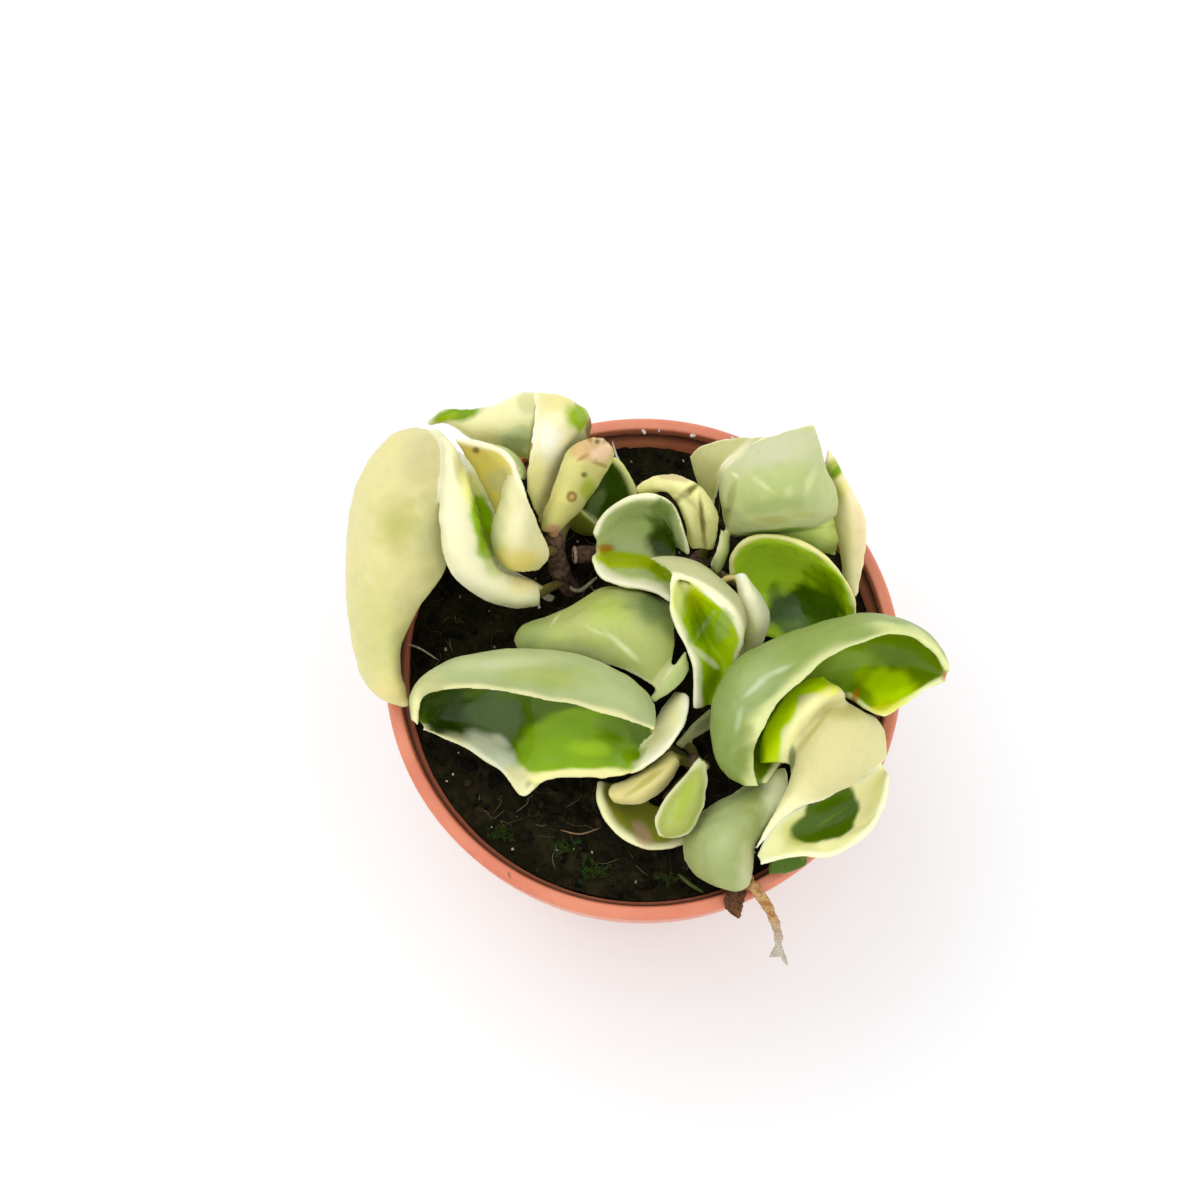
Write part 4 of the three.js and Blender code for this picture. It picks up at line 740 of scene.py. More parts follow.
# Two narrow arches of one yellow leaf behind the centre leaf.
def centre_arch_leaf():
    outer_edge = [
        [-1.7, 34.9, 14], [2.3, 37.1, 19], [6.5, 37.3, 22.5], [10.5, 35.7, 24], [13.5, 32.5, 22],
        [14.9, 29.1, 18], [14.5, 25.9, 12.5], [14.1, 22.5, 7.5],
    ]
    outer_crest = [
        [-1.3, 34.1, 15], [2.5, 35.7, 20.5], [6.5, 35.7, 24], [9.9, 34.1, 25.3], [12.3, 31.3, 23.5],
        [13.5, 28.5, 19.5], [13.5, 25.5, 14], [13.1, 22.3, 8.5],
    ]
    outer_fold = [
        [-0.7, 33.1, 11], [2.9, 34.1, 16], [6.3, 33.9, 19.5], [9.1, 32.5, 20.5],
        [11.1, 30.3, 18.5], [12, 27.9, 15], [12.1, 25.3, 11], [12.1, 22.7, 7],
    ]
    inner_edge = [
        [9.3, 33.3, 20.8], [10.9, 30.9, 18], [11.5, 28.1, 14.5], [11.5, 25.3, 10.5],
        [11.3, 22.7, 7],
    ]
    inner_crest = [
        [7.3, 33.7, 21.3], [9.1, 31, 19.5], [9.9, 27.9, 16], [10.3, 25.3, 12.3], [10.5, 22.5, 8],
    ]
    inner_fold = [
        [5.1, 33.9, 18.6], [7.3, 30.9, 15.5], [8.5, 27.7, 12], [8.9, 25.1, 9.2], [9.5, 22.7, 6.2],
    ]
    return grown(
        sheets=[
            leaf_sheet([outer_edge, outer_crest, outer_fold], "outer", inner=OLIVE,
                       outer=(232, 228, 172), margins=(0.5, 0)),
            leaf_sheet([inner_edge, inner_crest, inner_fold], "outer", inner=OLIVE,
                       outer=(242, 238, 174), margins=(0.5, 0)),
        ],
        stalk=[[12.6, 24, 7.5], [12.2, 22.5, 5], [11.6, 20.9, 2]],
        marks=[
            mark((190, 176, 140), 6.5, 37.3, 3.8, 1.2, turn=-5, strength=0.8, soft=0.3),
            mark((110, 108, 52), 8.9, 33.9, 0.7, 4.0, turn=-52, soft=0.6),
            mark((104, 100, 44), 11.7, 28.9, 0.5, 4.8, turn=6, soft=0.6, strength=0.9),
            mark((252, 248, 196), 8.9, 29.5, 1.2, 4.4, turn=18, soft=0.8, strength=0.8),
        ],
    )


# The pale puffed leaf at the back right, with a flap, a lower bulge and a curled lobe.
def back_puffed_leaf():
    top = [[15.7, 36.3, 18], [16.1, 39.5, 24], [20.9, 43.1, 27], [27.7, 45.7, 30], [34.3, 47.9, 31]]
    upper = [
        [15.5, 32.7, 19], [18.3, 36.3, 28], [24.3, 39.1, 33], [30.3, 41.9, 34], [35.1, 44.7, 31],
    ]
    middle = [
        [15.9, 29.7, 16], [20.3, 31.7, 27], [26.3, 33.7, 33], [31.7, 36.3, 33], [36.1, 39.9, 28],
    ]
    lower = [
        [16.5, 26.9, 12], [21.3, 27.9, 21], [27.3, 28.5, 26], [32.9, 30.7, 27], [38.9, 33.5, 22],
    ]
    under = [
        [18.1, 24.7, 7], [21.7, 25.7, 12], [27.3, 26.1, 15.5], [33.3, 26.9, 17], [38.9, 29.3, 16],
    ]
    flap_top = [
        [9.1, 41.3, 13], [11.5, 43.1, 16], [16.5, 44.7, 22], [21.9, 44.9, 27], [26.3, 44.9, 29.5],
    ]
    flap_middle = [[10.3, 37.5, 12.5], [12.3, 38.9, 17], [15.3, 40.5, 22], [19.5, 42.1, 27.2]]
    flap_low = [[13.7, 29.9, 12], [14.7, 33.3, 16.5], [15.5, 36.5, 20.5], [17.1, 39.9, 25]]
    bulge_top = [[21.7, 25.9, 13], [27.3, 26.3, 17], [33.3, 27.1, 18], [38.1, 29.3, 15]]
    bulge_middle = [[22.3, 25.3, 8], [28.9, 24.9, 10.5], [34.9, 24.3, 12], [39.1, 25.1, 11]]
    bulge_low = [[23.7, 25.1, 5], [29.9, 24.1, 5], [35.3, 22.1, 4.5], [38.5, 21.3, 4.5]]
    lobe_left = [[15.3, 27.1, 14.5], [14.8, 23.1, 12], [13, 19.3, 8]]
    lobe_middle = [[15.9, 26.3, 13.5], [15.7, 22.3, 12], [14.1, 18.3, 7.5]]
    lobe_right = [[17.1, 26.5, 12], [16.7, 22.1, 9], [15.1, 17.5, 5]]
    return grown(
        sheets=[
            leaf_sheet([top, upper, middle, lower, under], "outer", inner=MID_GREEN,
                       outer=(188, 194, 148), margins=(1.0, 0)),
            leaf_sheet([flap_top, flap_middle, flap_low], "outer", inner=MID_GREEN,
                       outer=(186, 184, 132), margins=(0.6, 0.6)),
            leaf_sheet([bulge_top, bulge_middle, bulge_low], "outer", inner=MID_GREEN,
                       outer=(200, 212, 136), margins=(0, 0.8)),
            leaf_sheet([lobe_left, lobe_middle, lobe_right], "outer", inner=MID_GREEN,
                       outer=(214, 222, 166), margins=(0.7, 0.7)),
        ],
        stalk=[[14.3, 18.6, 6.5], [14.5, 17.8, 4], [14.7, 17.2, 0.5]],
        marks=[
            mark((196, 198, 168), 27.3, 41.7, 7.5, 3.0, turn=14, side="outer", soft=0.8),
            mark((176, 188, 130), 27.5, 34.1, 8.5, 4.6, turn=12, side="outer", soft=0.8,
                 strength=0.85),
            mark((228, 224, 190), 18.3, 41.1, 4.0, 0.6, turn=46, soft=0.8, strength=0.8),
            # Painted highlights: small pale streaks and spots.
            mark((222, 226, 188), 18.3, 37.3, 0.9, 0.3, turn=-35, strength=0.8),
            mark((210, 218, 170), 23.9, 35.3, 2.0, 0.5, turn=-35, soft=0.8, strength=0.7),
            mark((206, 214, 166), 29.1, 33.9, 1.0, 1.2, soft=0.8, strength=0.6),
            mark((214, 220, 172), 33.3, 35.9, 0.7, 2.4, turn=-20, soft=0.8, strength=0.6),
            mark((206, 214, 158), 21.9, 28.7, 2.8, 0.7, turn=-5, soft=0.8, strength=0.7),
            mark((150, 166, 112), 26.9, 31.3, 6.0, 1.2, turn=8, soft=0.9, strength=0.5),
            mark(BROWN, 16.9, 30.3, 0.35, 0.5, strength=0.6),
            mark(KHAKI, 26.3, 28.5, 3.0, 0.7, strength=0.5),
            mark(KHAKI, 32.3, 29.3, 2.4, 0.6, strength=0.4),
            mark(OLIVE, 17.3, 31.7, 0.8, 4.0, turn=-12, strength=0.45),
            # Painted shade: a dark line in the crease above the bulge.
            mark(MID_GREEN, 26.7, 26.0, 8.0, 0.5, turn=5, strength=0.7),
            mark(DULL_GREEN, 13.6, 20.1, 0.9, 2.4, strength=0.5),
        ],
    )


# The beige leaf that hangs down at the far right, with a lime fold at its top.
def far_right_leaf():
    right = [
        [36.9, 42.9, 20.4], [38.9, 39.3, 19], [41.5, 34.3, 17], [43.9, 29.9, 14], [44.5, 23.3, 10],
        [43.7, 17.9, 7], [42.9, 12.7, 4],
    ]
    crest = [
        [36.6, 41.3, 21], [38.5, 37.3, 20], [41.3, 31.9, 18], [42.1, 26.3, 15], [41.7, 19.9, 9.8],
        [41.7, 13.1, 4.2],
    ]
    left = [
        [35.7, 38.9, 17], [36.1, 34.9, 12.5], [36.7, 30.9, 10.5], [38.5, 26.3, 8],
        [39.7, 20.3, 5.5], [40.5, 13.7, 3.6],
    ]
    return grown(
        sheets=[
            leaf_sheet([right, crest, left], "outer", inner=MID_GREEN, outer=(242, 230, 192),
                       margins=(0.7, 0.7), thickness=1.4),
        ],
        stalk=[
            [41.5, 13.9, 4.3], [40.8, 12.6, -1], [34, 9.9, -4.1], [23, 10.1, -4.2],
            [16.6, 11.3, -4.4],
        ],
        marks=[
            mark(LIME, 38.3, 38.5, 1.5, 3.0, turn=-30, strength=0.75),
            mark(BRIGHT_GREEN, 38.7, 38.1, 0.7, 1.3, turn=-30, strength=0.8),
            mark(PALE_YELLOW, 39.5, 34.3, 1.5, 2.2),
            mark((232, 208, 166), 43.3, 24.3, 1.0, 7.0, soft=0.7, strength=0.6),
        ],
    )


# The bright green cup on the right.
def right_cup_leaf():
    rim = [
        [17.5, 16.7, 9], [17.7, 21.3, 14], [20.7, 24.5, 18], [25.7, 25.3, 21], [31.3, 23.9, 23],
        [36.5, 20.7, 22], [40.5, 15.7, 19], [42.3, 11.1, 15], [42.3, 7.9, 11],
    ]
    wall_line = [
        [19.1, 14.7, 3], [19.9, 19.7, 6], [22.9, 22.1, 8], [27.1, 22.3, 9], [31.5, 20.9, 10],
        [35.1, 17.9, 10], [37.9, 13.9, 8], [39.5, 9.9, 6], [39.5, 6.3, 4],
    ]
    depth = [
        [20.9, 12.5, 1], [22.7, 14.3, 1], [25.3, 15.7, 1.5], [28.3, 15.9, 1.5], [31.1, 14.7, 1.5],
        [32.9, 12.7, 1.5], [34.3, 9.9, 1.5], [34.9, 7.1, 1.5], [34.3, 4.3, 1],
    ]
    bottom = [
        [22.5, 8.3, -0.5], [23.7, 9.3, -0.5], [25.9, 9.9, -0.5], [27.9, 9.5, -0.5], [29.3, 8.3, -0.5],
        [29.9, 6.7, -0.5], [30.3, 4.7, -0.5], [30.1, 2.7, -0.5], [28.9, 1.3, -0.5],
    ]
    middle = [
        [22.7, 3.9, -0.5], [23.5, 4.5, -0.8], [24.7, 4.7, -0.9], [25.9, 4.5, -0.9], [26.7, 3.9, -0.9],
        [27.1, 3.1, -0.9], [27.1, 2.1, -0.9], [26.7, 1.3, -0.8], [25.7, 0.7, -0.5],
    ]
    return grown(
        sheets=[
            leaf_sheet([rim, wall_line, depth, bottom, middle], "inner", at=(0.5, 0.5),
                       inner=(188, 224, 92), outer=GREY_GREEN, margins=(0.9, 0),
                       edge=PALE_YELLOW),
        ],
        stalk=[[20.3, 15.1, 2.4], [17.7, 16.3, 1.4], [14.9, 16.9, 0.4]],
        marks=[
            # The cup's deep green floor, darkened further as painted shade.
            mark((44, 74, 4), 32.5, 9.9, 8.8, 5.8, side="inner", soft=0.3),
            mark((60, 94, 10), 36.7, 15.1, 3.8, 3.6, side="inner", soft=0.8, strength=0.8),
            # Painted sheen: a lighter streak across the dark floor.
            mark((92, 132, 30), 29.7, 7.5, 3.6, 1.2, turn=10, side="inner", soft=0.8,
                 strength=0.6),
            mark((150, 190, 60), 39.3, 14.7, 1.4, 5.0, turn=25, side="inner", strength=0.6),
        ],
    )


# The small cream leaf between the two centre leaves, with a dry curl at its tip.
def small_cream_leaf():
    left = [[18.7, 17.9, 17], [18.9, 13.3, 15], [19.5, 8.3, 12], [20.1, 3.9, 7.5], [18.7, 0.5, 4]]
    crest = [
        [19.5, 17.9, 17.5], [21.1, 12.9, 17.6], [22.3, 8.3, 15], [21.7, 3.7, 9.6], [19.8, 0.2, 4.5],
    ]
    right = [
        [20.3, 17.5, 17], [22.9, 13.9, 14], [25.1, 10.1, 11], [24.9, 6.7, 9], [23.3, 2.9, 6.5],
        [20.9, 0.1, 4],
    ]
    curl_top = [[19.3, 17.3, 17], [16.5, 17.5, 15], [14.5, 15.3, 13]]
    curl_low = [[19.5, 16.1, 17], [16.9, 15.9, 15], [15.1, 14.5, 13]]
    return grown(
        sheets=[
            leaf_sheet([left, crest, right], "outer", inner=LIME, outer=(248, 244, 216),
                       margins=(0.6, 0.6), thickness=1.4),
            leaf_sheet([curl_top, curl_low], "outer", inner=TAN, outer=(226, 210, 165)),
        ],
        stalk=[[19.9, 1.3, 5], [18.7, 5.1, 2], [16.7, 9.9, 0.6], [15.3, 13.9, -1.2]],
        marks=[
            mark(WHITE, 19.5, 17.7, 1.4, 1.2),
            mark(TAN, 16.3, 16.1, 2.2, 1.6, strength=0.6),
            mark((244, 238, 190), 21.5, 5.0, 2.0, 4.0, strength=0.7),
        ],
    )


# The tall twisted leaf in the middle: a trough with an outer flap along its right rim.
def centre_twisted_leaf():
    left_rim = [
        [9.9, -9.7, 9], [10.1, -5.3, 12], [9.9, -0.3, 16], [7.9, 4.3, 19], [5.9, 8.9, 22],
        [5.3, 13.3, 24], [5.7, 17.1, 25],
    ]
    left_wall = [
        [11.3, -9.5, 7.5], [12.1, -4.9, 8.5], [11.9, 0.5, 12], [10.1, 5.1, 12.5], [8.5, 10.3, 15],
        [7.9, 14.7, 19.5], [6.9, 16.5, 23.5],
    ]
    spine = [
        [12.7, -8.9, 6], [14.1, -4.9, 5.5], [13.7, -0.3, 9], [12.3, 4.7, 6.5], [11.1, 9.3, 8],
        [9.9, 13.5, 14], [8.1, 16.1, 22.5],
    ]
    right_wall = [
        [14.1, -8.9, 6], [15.1, -3.7, 6], [15.7, 1.3, 8], [15.3, 5.9, 13], [13.7, 9.9, 16],
        [11.7, 13.1, 20], [9.3, 15.7, 24],
    ]
    right_rim = [
        [14.9, -8.5, 6], [17.9, -1.7, 8], [19.3, 1.3, 13], [20.1, 4.3, 19], [18.5, 8.3, 25],
        [14.5, 12.7, 27], [10.1, 15.7, 27],
    ]
    flap_inner = [[6.1, 16.9, 25], *right_rim[:3:-1], [19.7, 4.3, 20]]
    flap_middle = [
        [3.7, 19.1, 21], [9.3, 18.3, 24], [14.5, 15.1, 25], [18.9, 10.7, 22], [20.1, 6.3, 18],
    ]
    flap_outer = [
        [0.7, 20.7, 17], [5.7, 20.9, 19], [10.7, 19.7, 20], [15.3, 16.3, 20], [18.7, 12.9, 18],
        [19.7, 9.3, 16],
    ]
    return grown(
        sheets=[
            leaf_sheet([left_rim, left_wall, spine, right_wall, right_rim], "inner",
                       inner=(164, 198, 34), outer=PALE_GREEN, margins=(2.4, 1.0)),
            leaf_sheet([flap_inner, flap_middle, flap_outer], "outer", inner=MID_GREEN,
                       outer=(188, 190, 150), margins=(1.4, 0.8)),
        ],
        stalk=[[11.5, 7.9, 9], [9.4, 12.1, 3], [7.7, 14.7, -2.6]],
        marks=[
            mark((224, 228, 150), 7.3, 13.3, 2.6, 4.6, turn=-20, side="inner", soft=0.6),
            mark((186, 200, 60), 10.1, 12.1, 1.8, 3.0, side="inner", strength=0.85),
            mark((120, 160, 20), 10.7, 5.9, 1.8, 2.6, side="inner", strength=0.8),
            mark((150, 172, 104), 15.9, 7.3, 1.8, 4.0, turn=-15, side="inner", strength=0.75),
            mark(PALE_GREEN, 12.3, 7.3, 0.5, 3.6, turn=-34, side="inner", strength=0.65),
            mark((120, 158, 12), 13.7, -4.7, 2.2, 5.0, side="inner", strength=0.9),
            mark(CREAM, 12.3, 0.9, 3.7, 0.6, turn=-39, side="inner", strength=0.9, soft=0.4),
        ],
    )


# The boat-shaped leaf at the front left, its upper half turned over as a flap.
def front_boat_leaf():
    flap_margin = [
        [-45.1, -13.1, 9], [-43.9, -7.3, 14], [-38.7, -5.7, 17], [-30.9, -5.7, 19], [-20.1, -7.7, 21],
        [-12.9, -9.1, 22], [-4.1, -11.7, 21], [2.3, -14.1, 17],
    ]
    flap_middle = [
        [-45.7, -12.1, 9], [-44.7, -6.1, 15], [-38.7, -2.9, 19], [-29.7, -1.9, 22], [-19.7, -3.1, 24],
        [-10.7, -4.9, 25], [-2.7, -7.9, 23], [2.5, -11.7, 17],
    ]
    back = [
        [-46.1, -12.1, 7], [-45.5, -6.5, 11], [-41.5, -2.1, 14], [-32.7, 0.9, 16], [-22.7, 1.7, 17],
        [-12.7, 0.3, 18], [-3.7, -3.7, 18], [2.3, -9.3, 15],
    ]
    depth = [
        [-44.7, -12.1, 4], [-42.3, -8.3, 4], [-37.7, -6.7, 3], [-30.7, -6.3, 3], [-24.7, -7.3, 3.5],
        [-19.7, -8.7, 7], [-12.7, -10.1, 8.5], [-4.7, -12.1, 7], [1.3, -14.7, 8],
    ]
    floor = [
        [-43.9, -12.9, 3], [-40.7, -12.1, 0], [-35.7, -12.7, -1], [-28.7, -14.7, -2], [-25.1, -17.1, -1],
        [-20.5, -15.9, 4.5], [-12.7, -16.1, 7], [-5.1, -17.3, 6], [0.9, -17.7, 6],
    ]
    low_margin = [
        [-44.3, -13.5, 4], [-40.1, -15.1, 3], [-33.7, -18.5, 2], [-28.1, -22.5, 2], [-24.1, -27.3, 3],
        [-19.7, -24.1, 4], [-12.7, -23.5, 5], [-5.7, -23.3, 6], [0.3, -21.3, 9],
    ]
    end_inside = [[-0.7, -15.7, 5], [2.3, -12.1, 4.5], [4.3, -8.5, 4.5], [6.5, -5.9, 5]]
    end_middle = [[-0.7, -20.1, 8], [3.7, -15.1, 9.5], [6.9, -10.3, 9], [8.3, -6.1, 8.5]]
    end_margin = [
        [-3.1, -22.9, 8], [2.3, -19.9, 11], [6.5, -15.3, 12.5], [8.9, -10.9, 11], [9.3, -6.9, 9.5],
    ]
    return grown(
        sheets=[
            leaf_sheet([flap_margin, flap_middle, back, depth, floor, low_margin], "outer",
                       at=(0.5, 0.2), inner=(64, 90, 16), outer=(170, 180, 136),
                       margins=(1.5, 2.0), edge=(232, 228, 180)),
            leaf_sheet([end_inside, end_middle, end_margin], "inner", inner=(242, 238, 180),
                       outer=GREY_GREEN, margins=(0, 2.2)),
        ],
        stalk=[[1.5, -15, 5], [4.5, -17, -1], [8.7, -19.5, -3.9]],
        marks=[
            mark((182, 182, 138), -42.7, -4.7, 3.0, 3.4, side="outer", strength=0.7),
            mark((156, 168, 106), -18.7, -3.1, 8.0, 2.4, turn=-3, side="outer", soft=0.8),
            mark((194, 200, 162), -28.7, -0.3, 9.0, 1.0, turn=3, side="outer", soft=0.8,
                 strength=0.6),
            mark((28, 46, 6), -37.9, -9.9, 8.5, 5.2, turn=-4, side="inner", soft=0.4),
            # Painted sheen on the dark inside under the flap.
            mark((66, 84, 44), -29.5, -11.1, 6.0, 5.0, side="inner", soft=0.5),
            mark((214, 218, 190), -29.7, -19.5, 7.4, 3.6, turn=-42, side="inner", soft=0.25),
            mark((108, 152, 4), -13.5, -18.7, 12.0, 8.8, side="inner", soft=0.1),
            mark((108, 152, 4), -8.9, -16.1, 6.4, 7.0, side="inner", soft=0.2),
            mark((74, 104, 12), -4.7, -13.1, 3.4, 5.0, side="inner", soft=0.9, strength=0.8),
            # Painted highlight on the bright green lobe.
            mark((156, 194, 76), -10.7, -17.3, 4.0, 1.4, turn=-5, side="inner", strength=0.6),
            mark((240, 234, 166), -13.3, -23.1, 12.5, 1.7, turn=2, side="inner", soft=0.3),
            mark((228, 224, 172), -25.1, -24.5, 2.2, 3.4, side="inner", soft=0.4),
        ],
    )


# The large pale dome behind the boat-shaped leaf, with a pointed fold at its right end.
def centre_dome_leaf():
    top = [
        [-25.7, 3.9, 4], [-24.5, 7.1, 6], [-19.9, 8.5, 6], [-13.5, 11.5, 6], [-7.5, 14.7, 6],
        [-0.7, 14.3, 7], [5.5, 11.3, 8],
    ]
    middle = [
        [-25.1, 2.5, 7], [-22.1, 4.5, 11], [-16.7, 5.1, 14], [-8.7, 7.9, 18], [-0.7, 7.5, 18],
        [6.3, 4.3, 13],
    ]
    bottom = [
        [-24.3, 1.1, 6], [-19.1, -0.3, 9], [-12.7, 0.3, 12], [-4.7, -1.5, 14], [1.3, -4.7, 13],
        [4.1, -7.1, 9],
    ]
    fold_upper = [[8.5, 2.7, 13], [6.5, -0.3, 13], [3.9, -4.1, 12.5], [1.3, -7.5, 11]]
    fold_lower = [[9.1, -1.7, 10.5], [7.7, -4.3, 10.3], [5.1, -6.3, 10], [1.9, -8.3, 9]]
    return grown(
        sheets=[
            leaf_sheet([top, middle, bottom], "outer", inner=MID_GREEN, outer=(172, 182, 122),
                       margins=(0.8, 0.6)),
            leaf_sheet([fold_upper, fold_lower], "outer", inner=PALE_GREEN, outer=PALE_GREEN),
        ],
        stalk=[[4.9, 10.3, 9], [5, 10.9, 2], [5.5, 11.5, -3.6]],
        marks=[
            mark((186, 194, 132), -9.7, 5.9, 8.0, 4.0, soft=0.8, strength=0.7),
            mark((196, 206, 158), -12.7, 1.9, 6.0, 1.4, turn=-6, soft=0.7, strength=0.6),
            mark((176, 192, 104), -7.3, 10.3, 4.4, 2.4, turn=-20, soft=0.9, strength=0.7),
            mark((122, 138, 96), 1.9, 10.9, 4.4, 3.6, turn=-30, soft=0.6, strength=0.9),
            # Painted highlights: three thin pale streaks.
            mark((224, 232, 190), -4.1, 2.9, 3.4, 0.5, turn=-42, soft=0.9, strength=0.8),
            mark((214, 222, 176), -9.3, 5.9, 2.0, 0.3, turn=-25, soft=0.9, strength=0.6),
            mark((224, 230, 190), -17.7, 8.3, 1.5, 0.25, turn=55, soft=0.9, strength=0.7),
            mark((136, 152, 100), -22.9, 3.9, 1.8, 3.4, turn=-30, soft=0.7, strength=0.6),
            mark((150, 164, 112), -21.9, 6.7, 3.2, 3.0, soft=0.7, strength=0.7),
            mark((214, 216, 172), 3.9, -2.7, 0.9, 5.4, turn=-38, strength=0.7),
        ],
    )


# A small pale leaf low between the front stems.
def small_pale_leaf():
    upper = [[6.1, -16.7, 2], [9.7, -12.5, 3], [13.5, -9.1, 2.5]]
    lower = [[7.3, -17.5, 0], [10.3, -15.3, 0], [13.9, -13.3, -1]]
    return grown(
        sheets=[
            leaf_sheet([upper, lower], "outer", inner=PALE_GREEN, outer=(188, 192, 146)),
        ],
        stalk=[[8.3, -16.5, 0], [9.6, -17.6, -0.6], [10.2, -19, -1]],
        marks=[mark(DULL_GREEN, 11.9, -12.5, 2.0, 0.8, turn=30, strength=0.5)],
    )


# The rosette at the front: an open cup, a folded tongue and a plump leaf.
def rosette_cup_leaf():
    rim = [
        [-9.3, -23.5, 1.5], [-9.3, -27.1, 4], [-7.9, -31.1, 5], [-5.1, -34.7, 4], [-0.7, -37.1, 3],
        [3.7, -37.7, 1], [9.3, -36.3, -1],
    ]
    wall_line = [
        [-7.5, -23.9, -0.5], [-7.5, -27.3, 0.5], [-6.1, -30.1, 0.5], [-3.7, -32.9, 0.5],
        [-0.3, -34.9, -0.5], [3.3, -35.7, -1.5], [8.1, -34.1, -2.5],
    ]
    depth = [
        [-4.3, -24.1, -3], [-4.3, -27.1, -2.7], [-3.1, -28.9, -3], [-1.3, -30.5, -3], [0.9, -31.7, -3.4],
        [3.3, -32.1, -3.8], [6.5, -31.3, -3.8],
    ]
    bottom = [
        [0.3, -23.7, -4], [0.1, -25.7, -4], [0.5, -27.1, -4.2], [1.3, -28.1, -4.2], [2.5, -28.7, -4.2],
        [3.7, -28.9, -4.2], [5.3, -28.3, -4.2],
    ]
    return grown(
        sheets=[
            leaf_sheet([rim, wall_line, depth, bottom], "inner", inner=(122, 126, 52),
                       outer=PALE_GREEN, margins=(2.0, 0), edge=(226, 224, 178)),
        ],
        stalk=[[4.3, -27.9, -4], [7, -24.9, -3.9], [9.8, -21.9, -3.6]],
        marks=[
            mark((188, 148, 130), -0.3, -34.5, 1.7, 2.4, turn=20, strength=0.6),
            mark(OLIVE, -3.9, -27.7, 1.8, 2.6, strength=0.5),
        ],
    )


def rosette_tongue_leaf():
    top = [[-6.7, -24.9, 2.5], [-2.3, -23.1, 3], [2.3, -20.3, 4.5], [5.7, -17.7, 5]]
    crest = [[-7.1, -26.5, 4], [-2.3, -26.3, 6.5], [2.7, -23.1, 8], [6.9, -19.1, 7.5]]
    bottom = [[-6.1, -28.3, 2], [-0.7, -28.5, 3.5], [3.7, -25.9, 4.5], [6.9, -21.3, 4.5]]
    return grown(
        sheets=[
            leaf_sheet([top, crest, bottom], "outer", inner=OLIVE, outer=(220, 210, 156),
                       margins=(0.8, 0.8)),
        ],
        stalk=[[6.4, -19.3, 6.5], [7.6, -19.9, 3.5], [9.7, -20.2, 1]],
        marks=[
            mark(KHAKI, 0.7, -23.9, 5.0, 0.6, turn=36, strength=0.8),
            mark(OLIVE, 7.1, -18.3, 1.6, 1.0, strength=0.6),
        ],
    )


def rosette_plump_leaf():
    left = [[11.1, -18.9, 8], [8.1, -22.9, 9], [4.3, -27.3, 8.5], [2.1, -31.7, 6], [2.9, -35.1, 4]]
    crest = [[12, -20.1, 8.5], [10, -24.7, 11.3], [6.7, -30.3, 11.5], [4.3, -35.3, 4.8]]
    right = [
        [12.9, -21.1, 8], [12.5, -25.7, 8], [11.3, -30.7, 7], [9.1, -34.3, 5.5], [5.9, -35.7, 5],
    ]
    return grown(
        sheets=[
            leaf_sheet([left, crest, right], "outer", inner=MID_GREEN, outer=(174, 184, 112),
                       margins=(1.9, 2.1), edge=(240, 239, 202)),
        ],
        stalk=[[11.9, -20.9, 8.5], [12.3, -20.7, 5], [10.9, -20.3, 2]],
        marks=[
            mark((160, 182, 62), 8.1, -27.5, 1.0, 4.6, turn=-22, strength=0.45),
        ],
    )


